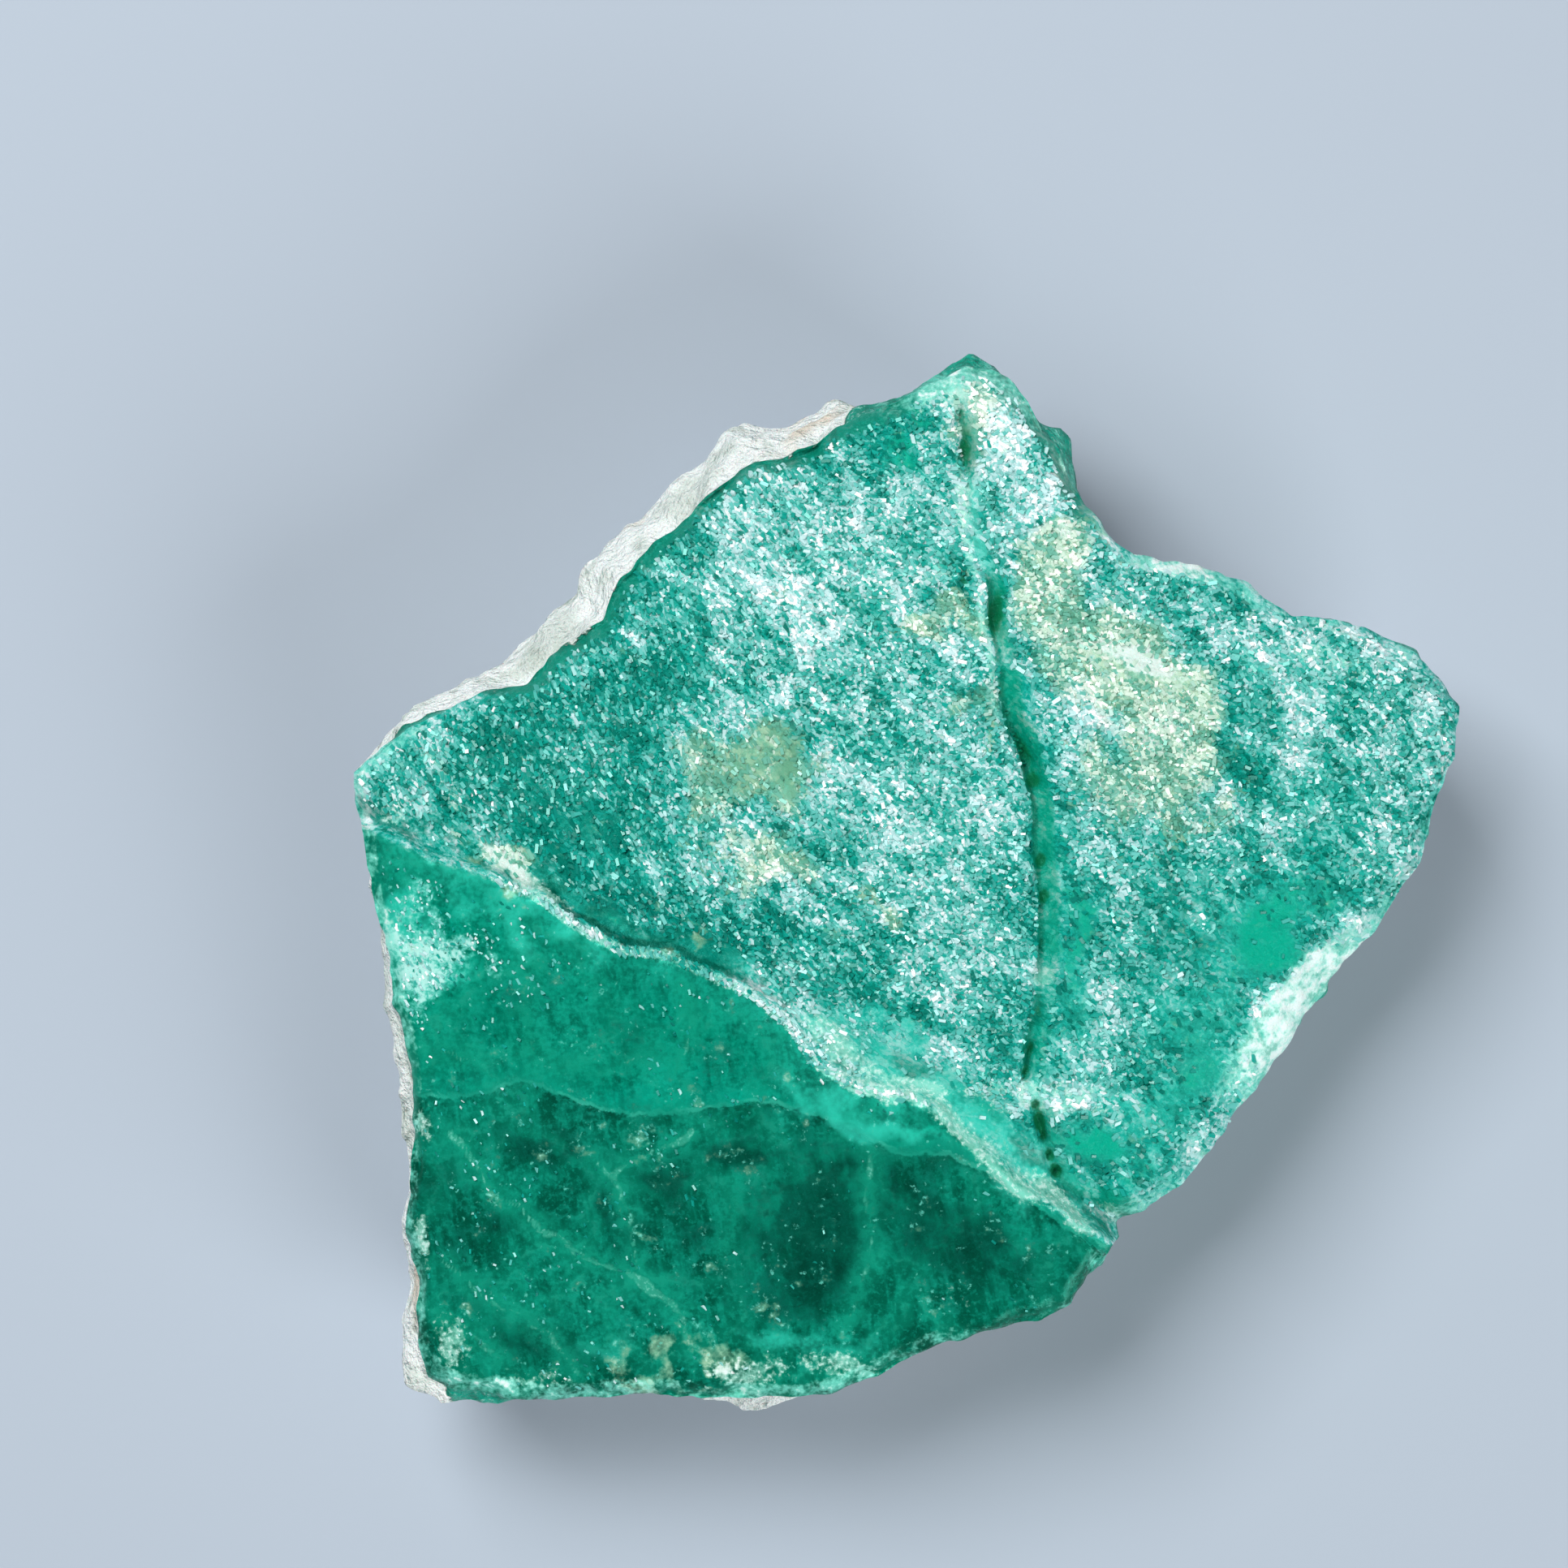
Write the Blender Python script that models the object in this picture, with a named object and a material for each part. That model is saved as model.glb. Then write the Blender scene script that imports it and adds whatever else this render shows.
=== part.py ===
"""A raw piece of smithsonite lying on its back, its broken face up.

The real thing is one piece: a slab of waxy green zinc carbonate, 60 mm wide and 56 mm tall
across the face and 15 mm thick, with the pale crust that it grew on still over its back and
its upper-left wall. So there is one object.

+X runs to the face's right corner, +Y to its top tip and +Z out of the face. The origin is
under the middle of the slab's box, on the surface that it rests on. Lengths are millimetres
until the mesh is written, in metres.
"""

import bmesh
import bpy
import numpy as np

MM = 0.001

# The slab
THICKNESS = 15.0
FACE_MIDDLE = (-3.1, 0.5)  # every point of the outline can be seen from here
SEED = 11

# The outline of the face, clockwise from its top tip
OUTLINE = np.array([
    (3.1, 28.0), (4.5, 27.8), (5.3, 27.2), (6.4, 26.0), (7.1, 24.8), (8.1, 23.5), (8.7, 22.1),
    (9.5, 20.5), (10.7, 18.8), (12.1, 17.7), (14.7, 17.5), (16.9, 16.8), (18.3, 16.2),
    (19.1, 15.4), (20.8, 14.4), (23.2, 14.1), (25.2, 13.4), (27.1, 12.3), (28.9, 11.0),
    (30.0, 9.7), (29.5, 7.7), (28.0, 4.6), (27.3, 1.6), (24.7, -2.0), (23.4, -3.2),
    (22.0, -5.3), (21.0, -6.6), (20.2, -8.1), (18.0, -10.9), (15.6, -14.1), (14.3, -15.6),
    (12.9, -16.8), (11.6, -17.4), (11.0, -18.0), (11.1, -18.8), (10.1, -20.0), (8.6, -22.4),
    (7.1, -23.1), (3.4, -23.9), (0.3, -25.1), (-2.7, -26.7), (-4.4, -27.2), (-6.3, -27.7),
    (-9.8, -27.4), (-12.7, -27.8), (-16.6, -27.8), (-19.2, -28.1), (-22.7, -27.8),
    (-24.8, -27.5), (-26.0, -26.7), (-26.5, -25.1), (-26.8, -23.1), (-26.6, -21.5),
    (-27.2, -18.7), (-26.9, -14.3), (-26.8, -10.0), (-27.3, -8.1), (-27.8, -6.4),
    (-28.0, -4.1), (-28.6, -1.7), (-29.0, 0.5), (-29.2, 2.7), (-29.9, 4.6), (-30.0, 6.1),
    (-27.9, 7.8), (-25.7, 9.0), (-22.7, 10.4), (-20.7, 10.8), (-18.7, 12.8), (-16.5, 14.2),
    (-15.9, 15.7), (-14.7, 17.4), (-12.7, 19.2), (-9.6, 22.1), (-8.3, 22.8), (-6.2, 23.1),
    (-4.9, 23.8), (-3.7, 24.7), (-0.7, 25.9), (0.7, 26.8), (1.9, 27.3),
])

# The rim and the wall under it, at bearings round FACE_MIDDLE in degrees from +X: bearing,
# width of the worn rim, its drop, how far the wall swells out below it, how far the underside's
# edge stands off the ground, and how far in that rise reaches
WALL = np.array([
    (-180, 0.9, 0.6, 0.3, 1.6, 4.0), (-150, 0.8, 0.6, 0.4, 1.2, 3.0), (-133, 1.0, 0.8, 0.2, 2.6, 6.0),
    (-118, 0.9, 0.7, -0.1, 1.4, 4.0), (-96, 1.0, 0.7, 0.1, 1.0, 3.0), (-75, 0.9, 0.7, -0.2, 2.2, 5.0),
    (-55, 1.0, 0.8, -0.4, 2.4, 4.0), (-46, 2.2, 1.6, -0.6, 1.6, 3.5), (-30, 2.8, 1.9, -0.6, 2.4, 5.0),
    (-12, 3.2, 2.2, -0.6, 1.6, 6.0), (-2, 2.0, 1.3, -0.5, 2.6, 8.0), (8, 1.3, 0.9, -0.4, 4.0, 11.0),
    (17, 1.4, 1.0, -0.3, 4.8, 13.0), (30, 1.6, 1.0, 0.0, 3.0, 8.0), (46, 1.2, 0.9, 0.2, 1.8, 5.0),
    (60, 1.1, 0.9, 0.2, 2.6, 6.0), (72, 1.2, 0.9, -0.1, 3.6, 8.0), (86, 0.9, 0.7, 0.0, 2.6, 7.0),
    (93, 1.1, 0.9, 1.5, 1.6, 5.0), (125, 1.3, 1.0, 1.7, 1.2, 3.5), (150, 1.2, 1.0, 1.6, 2.0, 4.0),
    (158, 0.9, 0.7, 0.8, 3.2, 6.0), (168, 0.9, 0.6, 0.5, 3.6, 7.0), (180, 0.9, 0.6, 0.3, 1.6, 4.0),
])

# The crack that runs down the face: x, y, depth, and how far its right side slopes
CRACK = np.array([
    (2.7, 26.6, 0.0, 0.5), (2.8, 25.0, 0.9, 0.8), (3.0, 23.1, 1.2, 0.9), (3.2, 21.6, 0.5, 0.7),
    (3.3, 19.6, 0.2, 0.7), (3.8, 17.4, 0.2, 0.8), (4.3, 16.2, 1.0, 0.9), (4.3, 14.8, 1.8, 1.0),
    (4.5, 13.1, 1.2, 0.9), (4.9, 11.8, 0.5, 0.9), (4.9, 10.4, 1.3, 1.9), (5.2, 8.7, 1.6, 1.9),
    (5.8, 7.8, 2.0, 1.7), (6.2, 6.2, 2.0, 1.4), (6.4, 5.2, 0.9, 1.2), (6.7, 4.0, 0.8, 1.3),
    (6.7, 2.2, 1.2, 1.6), (6.8, 0.8, 1.4, 1.6), (7.0, -0.4, 0.9, 1.5), (7.0, -3.2, 1.0, 1.6),
    (6.9, -5.0, 0.5, 1.6), (6.8, -6.5, 0.8, 1.5), (6.2, -8.7, 1.0, 1.4), (6.4, -10.5, 0.6, 1.2),
    (6.7, -11.3, 0.1, 0.8), (6.9, -12.2, 1.2, 1.0), (7.0, -13.0, 1.8, 1.2), (7.4, -14.1, 1.3, 0.9),
    (8.0, -15.5, 1.8, 0.8), (8.4, -16.2, 0.8, 0.8), (9.0, -16.6, 0.7, 0.9), (9.7, -16.9, 0.7, 0.9),
    (11.4, -17.5, 0.9, 0.9),
])
CRACK_WALL = 0.4  # width of its steep left side
CRACK_LIP = 0.15  # how far the left rim stands up

# The ledge that crosses the face from the left edge to the notch
LEDGE = np.array([
    (-32.0, 4.2), (-28.0, 2.6), (-25.7, 1.5), (-22.5, 0.5), (-19.8, -0.6), (-17.9, -2.1),
    (-15.4, -3.4), (-12.9, -3.7), (-10.4, -4.9), (-8.2, -5.9), (-6.2, -7.6), (-5.1, -9.4),
    (-2.8, -10.9), (0.4, -11.3), (2.1, -12.8), (4.9, -14.9), (6.8, -16.8), (9.0, -18.2),
    (13.0, -20.6),
])
TROUGH_DEPTH = 0.8
TROUGH_AT = 1.0  # from the ledge, on its plateau side
TROUGH_WIDTH = 1.1
LIP_HEIGHT = 14.6  # of the ledge's lower side
LOW_SLOPE = 0.095  # of the ground below the ledge

# The step at the top of the dark lower facet
STEP = np.array([
    (-31.0, -11.5), (-23.6, -11.4), (-20.8, -10.5), (-18.0, -11.6), (-15.4, -12.4),
    (-12.0, -12.2), (-8.2, -11.6), (-5.7, -12.1), (-3.5, -12.9), (-0.7, -14.4), (2.1, -14.5),
    (4.9, -15.8), (9.0, -18.8),
])
STEP_DROP = 0.45

# Broad shapes of the plateau: x, y, radius, height
SWELLS = np.array([
    (0.4, 23.2, 1.9, -0.35), (-8.0, 7.0, 5.0, 0.30), (-19.0, 6.5, 4.5, -0.25), (12.0, 9.5, 4.5, 0.35),
    (17.5, -3.5, 4.0, -0.30), (10.8, -14.8, 2.8, -0.45), (8.0, -11.2, 2.2, 0.35),
    (-0.5, -6.0, 3.5, 0.25), (22.0, 8.0, 4.0, 0.2),
])
DOME_MIDDLE = (-2.0, 8.0)
DOME_RADIUS = 400.0
BLOCK_DROP = 0.25  # of the ground right of the crack
BLOCK_SLOPE = 0.05

# The wall's breaks: the size and depth of the shell-shaped hollows that smithsonite breaks in
BREAK_SIZE = 7.0
BREAK_DEPTH = 2.2
CHIP_SIZE = 3.0
CHIP_DEPTH = 0.7
TUCK = 1.6  # how far the wall draws in again at its foot

# The back
HOLLOW_DEPTH = 1.4
REST_MIDDLE = (-2.0, 0.0)
REST_FLAT = 9.0  # radius of the sound flat that it rests on
SETTLED = 0.06  # ground this near the floor lies on it

# The cage
CELLS = 170  # across the face
WALL_ROWS = 16
FACETS_KEPT = 0.064  # share left once flat ground is thinned out


def smooth(edge, value):
    """0 at zero, 1 at `edge` and beyond, and level at both ends."""
    s = np.clip(value / edge, 0.0, 1.0)
    return s * s * (3.0 - 2.0 * s)


def turned(points, seed):
    """Points turned about Z by an angle of their own for each seed, so that no two lattices line up."""
    c, s = np.cos(1.1 * seed), np.sin(1.1 * seed)
    return points @ np.array([(c, -s, 0.0), (s, c, 0.0), (0.0, 0.0, 1.0)])


def lattice_noise(points, size, seed):
    """A smooth random field, -1 to 1: random numbers `size` apart in a cubic lattice, blended."""
    table = np.random.default_rng(SEED + seed).uniform(-1.0, 1.0, (64, 64, 64))
    cell = turned(points, seed) / size
    corner = np.floor(cell).astype(int)
    x, y, z = np.moveaxis(smooth(1.0, cell - corner), -1, 0)
    total = np.zeros(len(points))
    for i, wide in ((0, 1.0 - x), (1, x)):
        for j, deep in ((0, 1.0 - y), (1, y)):
            for k, tall in ((0, 1.0 - z), (1, z)):
                at = (corner + (i, j, k)) % 64
                total += wide * deep * tall * table[at[:, 0], at[:, 1], at[:, 2]]
    return total


def shells(points, size, seed):
    """Shell-shaped hollows, from 0 in their middles to about 1 on the sharp ridges between them.

    It is the squared distance to the nearest of a scatter of points, one in each `size` of space.
    """
    scatter = np.random.default_rng(SEED + seed).uniform(0.0, 1.0, (16, 16, 16, 3))
    cell = turned(points, seed) / size
    corner = np.floor(cell).astype(int)
    nearest = np.full(len(points), np.inf)
    for step in np.ndindex(3, 3, 3):
        at = corner + np.array(step) - 1
        spot = at + scatter[at[:, 0] % 16, at[:, 1] % 16, at[:, 2] % 16]
        nearest = np.minimum(nearest, ((spot - cell) ** 2).sum(axis=1))
    return nearest


def beside(x, y, path):
    """Signed distance to a chain of points, and how many links along it the nearest place is.

    The distance is positive on the left of someone who walks along the chain.
    """
    nearest = np.full(len(x), np.inf)
    side = np.zeros(len(x))
    along = np.zeros(len(x))
    for link, (start, end) in enumerate(zip(path[:-1, :2], path[1:, :2])):
        run = end - start
        dx, dy = x - start[0], y - start[1]
        share = np.clip((dx * run[0] + dy * run[1]) / (run @ run), 0.0, 1.0)
        distance = np.hypot(dx - share * run[0], dy - share * run[1])
        closer = distance < nearest
        nearest = np.where(closer, distance, nearest)
        side = np.where(closer, np.sign(run[0] * dy - run[1] * dx), side)
        along = np.where(closer, link + share, along)
    return nearest * side, along


def outline_point(turn):
    """The outline at a share of the way round it, 0 to 1."""
    loop = np.vstack([OUTLINE, OUTLINE[:1]])
    length = np.concatenate([[0.0], np.cumsum(np.hypot(*np.diff(loop, axis=0).T))])
    at = (turn % 1.0) * length[-1]
    return np.interp(at, length, loop[:, 0]), np.interp(at, length, loop[:, 1])


def wall_at(x, y):
    """The rim's width and drop, the wall's swell, and the foot's lift and reach, at a point's bearing."""
    bearing = np.degrees(np.arctan2(y - FACE_MIDDLE[1], x - FACE_MIDDLE[0]))
    return [np.interp(bearing, WALL[:, 0], WALL[:, column]) for column in range(1, WALL.shape[1])]


def plateau_height(x, y):
    """The sugary upper ground: a shallow dome, its broad swells, and the block right of the crack."""
    height = THICKNESS - ((x - DOME_MIDDLE[0]) ** 2 + (y - DOME_MIDDLE[1]) ** 2) / (2 * DOME_RADIUS)
    for at_x, at_y, radius, rise in SWELLS:
        height += rise * np.exp(-((x - at_x) ** 2 + (y - at_y) ** 2) / (2 * radius**2))
    right, along = beside(x, y, CRACK)
    height -= BLOCK_DROP * smooth(1.5, right) + BLOCK_SLOPE * np.maximum(right, 0.0)
    depth = np.interp(along, range(len(CRACK)), CRACK[:, 2])
    slope = np.interp(along, range(len(CRACK)), CRACK[:, 3])
    open_side = np.clip(1.0 - right / slope, 0.0, 1.0) ** 1.3
    steep_side = smooth(CRACK_WALL, right + CRACK_WALL)
    height -= depth * np.where(right > 0.0, open_side, steep_side)
    return height + CRACK_LIP * np.exp(-((right + 0.9) ** 2) / 0.3) * smooth(0.5, depth)


def face_height(x, y):
    """The face: plateau and trough above the ledge, the lower ground and its step below it."""
    above, _ = beside(x, y, LEDGE)
    over_step, _ = beside(x, y, STEP)
    trough = TROUGH_DEPTH * np.exp(-((above - TROUGH_AT) ** 2) / (2 * TROUGH_WIDTH**2))
    upper = plateau_height(x, y) - trough
    lower = LIP_HEIGHT - LOW_SLOPE * np.maximum(-above, 0.0) - STEP_DROP * smooth(0.8, 0.4 - over_step)
    height = lower + (upper - lower) * smooth(0.9, above + 0.3)
    points = np.stack([x, y, np.zeros_like(x)], axis=-1)
    rough = smooth(2.0, above)
    height += (0.12 + 0.10 * rough) * lattice_noise(points, 5.0, 1)
    height += (0.04 + 0.09 * rough) * lattice_noise(points, 2.0, 2)
    inside = np.abs(beside(x, y, np.vstack([OUTLINE, OUTLINE[:1]]))[0])
    width, drop = wall_at(x, y)[:2]
    return height - drop * np.clip(1.0 - inside / width, 0.0, 1.0) ** 1.8


def wall_point(turn, down):
    """The broken wall: `down` is 0 at the rim and 1 at the underside's edge.

    It runs out from the rim along the line from the middle of the face, by the wall's swell and
    by its breaks, and draws in again at its foot.
    """
    rim_x, rim_y = outline_point(turn)
    rim_z = face_height(rim_x, rim_y)
    away = np.stack([rim_x - FACE_MIDDLE[0], rim_y - FACE_MIDDLE[1]], axis=-1)
    swell, lift = wall_at(rim_x, rim_y)[2:4]
    z = rim_z + (lift - rim_z) * down
    place = np.stack([rim_x, rim_y, z], axis=-1)
    breaks = BREAK_DEPTH * (shells(place, BREAK_SIZE, 3) - 0.35)
    breaks += CHIP_DEPTH * (shells(place, CHIP_SIZE, 4) - 0.3)
    out = swell * smooth(0.28, down) + breaks * smooth(0.15, down) - TUCK * smooth(0.4, down - 0.65)
    ledges = 0.6 * lattice_noise(place, 4.0, 5) * np.sin(np.pi * down)
    stretch = 1.0 + out / np.hypot(away[:, 0], away[:, 1])
    x = FACE_MIDDLE[0] + away[:, 0] * stretch
    y = FACE_MIDDLE[1] + away[:, 1] * stretch
    return x, y, z + ledges


def back_height(x, y, from_edge, lift, reach):
    """The crusted back: flat where it rests, with hollows, and rising to its edge."""
    points = np.stack([x, y, np.zeros_like(x)], axis=-1)
    hollows = lattice_noise(points, 9.0, 6) + 0.5 * shells(points, 5.0, 7) - 0.15
    sound = smooth(5.0, np.hypot(x - REST_MIDDLE[0], y - REST_MIDDLE[1]) - REST_FLAT)
    inward = 1.0 - np.clip(from_edge / reach, 0.0, 1.0)
    uneven = 1.0 + 0.35 * lattice_noise(points, 4.0, 8) * (1.0 - inward**4)
    return lift * inward**1.6 * uneven + HOLLOW_DEPTH * np.maximum(hollows, 0.0) * sound * (1.0 - inward)


def stone_points(cage):
    """Every point of the stone from its place in the cage, which is 2 wide, 2 deep and 1 tall.

    The cage's square becomes a disc, and the disc's rings become shrunken copies of the outline,
    so the face, the wall and the back share one set of columns.
    """
    s, t, w = cage.T
    across, up = s * np.sqrt(1.0 - t * t / 2.0), t * np.sqrt(1.0 - s * s / 2.0)
    ring = np.hypot(across, up)
    turn = 0.125 - np.arctan2(up, across) / (2.0 * np.pi)
    rim_x, rim_y = outline_point(turn)
    face_x = FACE_MIDDLE[0] + ring * (rim_x - FACE_MIDDLE[0])
    face_y = FACE_MIDDLE[1] + ring * (rim_y - FACE_MIDDLE[1])
    wall = wall_point(turn, 1.0 - w)
    foot_x, foot_y, _ = wall_point(turn, np.ones_like(w))
    back_x = FACE_MIDDLE[0] + ring * (foot_x - FACE_MIDDLE[0])
    back_y = FACE_MIDDLE[1] + ring * (foot_y - FACE_MIDDLE[1])
    from_edge = (1.0 - ring) * np.hypot(foot_x - FACE_MIDDLE[0], foot_y - FACE_MIDDLE[1])
    lift, reach = wall_at(rim_x, rim_y)[3:]
    face = (face_x, face_y, face_height(face_x, face_y))
    back = (back_x, back_y, back_height(back_x, back_y, from_edge, lift, reach))
    return np.where(w > 0.999, face, np.where(w < 0.001, back, wall)).T


def cage_mesh():
    """A closed square slab: a grid for the face, one for the back, and rows of quads between."""
    cage = bmesh.new()
    bmesh.ops.create_grid(cage, x_segments=CELLS, y_segments=CELLS, size=1.0)
    raised = bmesh.ops.extrude_face_region(cage, geom=cage.faces[:], use_keep_orig=True)
    top = [item for item in raised["geom"] if isinstance(item, bmesh.types.BMVert)]
    bmesh.ops.translate(cage, verts=top, vec=(0.0, 0.0, 1.0))
    upright = [edge for edge in cage.edges if abs(edge.verts[0].co.z - edge.verts[1].co.z) > 0.5]
    bmesh.ops.subdivide_edges(cage, edges=upright, cuts=WALL_ROWS - 1, use_grid_fill=True)
    bmesh.ops.recalc_face_normals(cage, faces=cage.faces[:])
    return cage


def smithsonite_material():
    """Waxy green mineral, as its face shows."""
    material = bpy.data.materials.new("smithsonite_green")
    material.use_nodes = True
    shader = material.node_tree.nodes["Principled BSDF"]
    shader.inputs["Base Color"].default_value = (0.02, 0.34, 0.24, 1.0)
    shader.inputs["Roughness"].default_value = 0.35
    shader.inputs["Metallic"].default_value = 0.0
    material.diffuse_color = shader.inputs["Base Color"].default_value
    return material


def settled(stone):
    """The stone's thinned mesh, with the ground that it rests on made truly flat."""
    graph = bpy.context.evaluated_depsgraph_get()
    mesh = bpy.data.meshes.new_from_object(stone.evaluated_get(graph), depsgraph=graph)
    mesh.name = stone.name
    for vertex in mesh.vertices:
        if vertex.co.z < SETTLED * MM:
            vertex.co.z = 0.0
    return mesh


def build_stone(collection):
    """The stone: the cage drawn to its shape, centred over the origin, thinned where it is flat."""
    cage = cage_mesh()
    points = stone_points(np.array([vertex.co[:] for vertex in cage.verts]))
    middle = (points.min(axis=0) + points.max(axis=0)) / 2
    points -= (middle[0], middle[1], points[:, 2].min())
    for vertex, point in zip(cage.verts, points * MM):
        vertex.co = point
    mesh = bpy.data.meshes.new("smithsonite_cage")
    cage.to_mesh(mesh)
    cage.free()
    mesh.materials.append(smithsonite_material())
    stone = bpy.data.objects.new("smithsonite", mesh)
    collection.objects.link(stone)
    thin = stone.modifiers.new("thin_flat_ground", "DECIMATE")
    thin.ratio = FACETS_KEPT
    thin.use_collapse_triangulate = True
    thinned = settled(stone)
    stone.modifiers.remove(thin)
    stone.data = thinned
    bpy.data.meshes.remove(mesh)


def main():
    for leftover in list(bpy.data.objects):
        bpy.data.objects.remove(leftover, do_unlink=True)
    collection = bpy.data.collections.new("raw_smithsonite")
    bpy.context.scene.collection.children.link(collection)
    build_stone(collection)


main()
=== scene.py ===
# %% [markdown]
# # A raw piece of smithsonite, lying on its back
#
# Smithsonite is zinc carbonate. It grows in a zinc mine as a thick waxy layer on the rock, so a
# broken lump has two kinds of skin. Its fresh break is green: sugary where it tore through the
# grains, and smooth and waxy where it parted along a flaw. The side that it grew on keeps a
# pale, pitted crust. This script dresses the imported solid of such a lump. The real piece is
# about 60 mm across, and the solid gives every new shape its place.

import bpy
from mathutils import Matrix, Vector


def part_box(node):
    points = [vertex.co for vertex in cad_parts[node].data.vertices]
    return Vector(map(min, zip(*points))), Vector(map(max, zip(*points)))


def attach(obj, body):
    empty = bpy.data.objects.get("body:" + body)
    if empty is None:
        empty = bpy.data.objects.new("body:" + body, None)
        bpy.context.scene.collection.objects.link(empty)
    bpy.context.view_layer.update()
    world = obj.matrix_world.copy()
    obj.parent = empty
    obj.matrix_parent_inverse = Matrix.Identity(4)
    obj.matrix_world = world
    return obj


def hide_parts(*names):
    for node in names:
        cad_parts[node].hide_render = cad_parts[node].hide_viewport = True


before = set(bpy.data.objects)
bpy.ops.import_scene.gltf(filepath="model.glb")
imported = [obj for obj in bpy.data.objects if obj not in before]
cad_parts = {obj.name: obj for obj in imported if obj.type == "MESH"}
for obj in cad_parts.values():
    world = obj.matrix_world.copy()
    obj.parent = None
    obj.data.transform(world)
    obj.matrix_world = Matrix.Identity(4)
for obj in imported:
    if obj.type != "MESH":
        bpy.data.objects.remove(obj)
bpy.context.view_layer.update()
low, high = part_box("smithsonite")
print("packed solid from", [round(v * 1000, 1) for v in low], "to", [round(v * 1000, 1) for v in high], "mm")

# %% [markdown]
# ## Lengths, and an even step
#
# Blender works in metres, but a stone is easier to think of in millimetres, so every shape below
# is worked out in millimetres and turned to metres when it becomes a mesh. A stone has hardly a
# straight line in it: nearly every change from one ground to another is a soft step, so that
# comes first.

import bpy
import numpy as np

MM = 0.001
SEED = 11


def smooth(edge, value):
    """0 at zero, 1 at `edge` and beyond, level at both ends: 3s^2 - 2s^3 of the share s."""
    s = np.clip(value / edge, 0.0, 1.0)
    return s * s * (3.0 - 2.0 * s)


print("a soft step 1 mm wide reads", smooth(1.0, np.array([0.0, 0.25, 0.5, 1.0])).round(2))

# %% [markdown]
# ## The outline of the face
#
# The lump broke to a five-sided slab with a tip at the top, a notch under it on the right, a
# corner far right, a cut back to a second notch below, and a long left side. A smooth curve
# through a few points would lose the chips that make it look broken, so the outline is a chain
# of points about 2 mm apart, joined by straight runs. A place on it is a share of the way round.

# %% The outline
OUTLINE = np.array([
    (3.1, 28.0), (4.5, 27.8), (5.3, 27.2), (6.4, 26.0), (7.1, 24.8), (8.1, 23.5), (8.7, 22.1),
    (9.5, 20.5), (10.7, 18.8), (12.1, 17.7), (14.7, 17.5), (16.9, 16.8), (18.3, 16.2),
    (19.1, 15.4), (20.8, 14.5), (23.2, 14.4), (25.2, 13.8), (27.1, 12.8), (28.9, 11.2),
    (30.0, 9.7), (29.9, 7.6), (28.6, 4.3), (27.9, 1.2), (25.4, -2.4), (24.2, -3.7),
    (22.8, -5.7), (21.7, -7.1), (20.8, -8.6), (18.7, -11.4), (16.2, -14.6), (14.9, -16.1),
    (13.5, -17.2), (12.3, -17.8), (11.3, -18.3), (11.3, -19.0), (10.3, -20.2), (8.8, -22.7),
    (7.1, -23.5), (3.4, -24.3), (0.3, -25.5), (-2.7, -27.0), (-4.4, -27.6), (-6.3, -28.0),
    (-9.8, -27.8), (-12.7, -27.8), (-16.6, -27.8), (-19.2, -28.1), (-22.7, -27.8),
    (-24.8, -27.5), (-26.0, -26.7), (-26.5, -25.1), (-26.8, -23.1), (-26.6, -21.5),
    (-27.2, -18.7), (-26.9, -14.3), (-26.8, -10.0), (-27.3, -8.1), (-27.8, -6.4),
    (-28.0, -4.1), (-28.6, -1.7), (-29.0, 0.5), (-29.2, 2.7), (-29.9, 4.6), (-30.0, 6.1),
    (-27.9, 7.8), (-25.7, 9.0), (-22.7, 10.4), (-20.7, 10.8), (-18.7, 12.8), (-16.5, 14.2),
    (-15.9, 15.7), (-14.7, 17.4), (-12.7, 19.2), (-9.6, 22.1), (-8.3, 22.8), (-6.2, 23.1),
    (-4.9, 23.8), (-3.7, 24.7), (-0.7, 25.9), (0.7, 26.8), (1.9, 27.3),
])
LOOP = np.vstack([OUTLINE, OUTLINE[:1]])
ROUND = np.concatenate([[0.0], np.cumsum(np.hypot(*np.diff(LOOP, axis=0).T))])
FACE_MIDDLE = (-3.1, 0.5)  # every point of the outline can be seen from here


def outline_point(turn):
    """The outline at a share of the way round it, clockwise from the top tip, 0 to 1."""
    at = (turn % 1.0) * ROUND[-1]
    return np.interp(at, ROUND, LOOP[:, 0]), np.interp(at, ROUND, LOOP[:, 1])


print("the rim is", round(ROUND[-1], 1), "mm round")

# %% [markdown]
# ## Rough ground
#
# Broken mineral is rough at every size, from bulges a centimetre wide to grains. Blender's own
# textures could push a mesh about, but the solid's source uses the two fields below, and the
# same fields give the same stone. The first is a smooth random field, nearly always used as a
# sum of two or three sizes. The second gives the shell-shaped hollows, with sharp ridges between
# them, that a waxy mineral breaks in.

# %% Two random fields
def turned(points, seed):
    """Points turned about Z by 1.1 radians times the seed, so that no two lattices line up."""
    c, s = np.cos(1.1 * seed), np.sin(1.1 * seed)
    return points @ np.array([(c, -s, 0.0), (s, c, 0.0), (0.0, 0.0, 1.0)])


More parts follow.
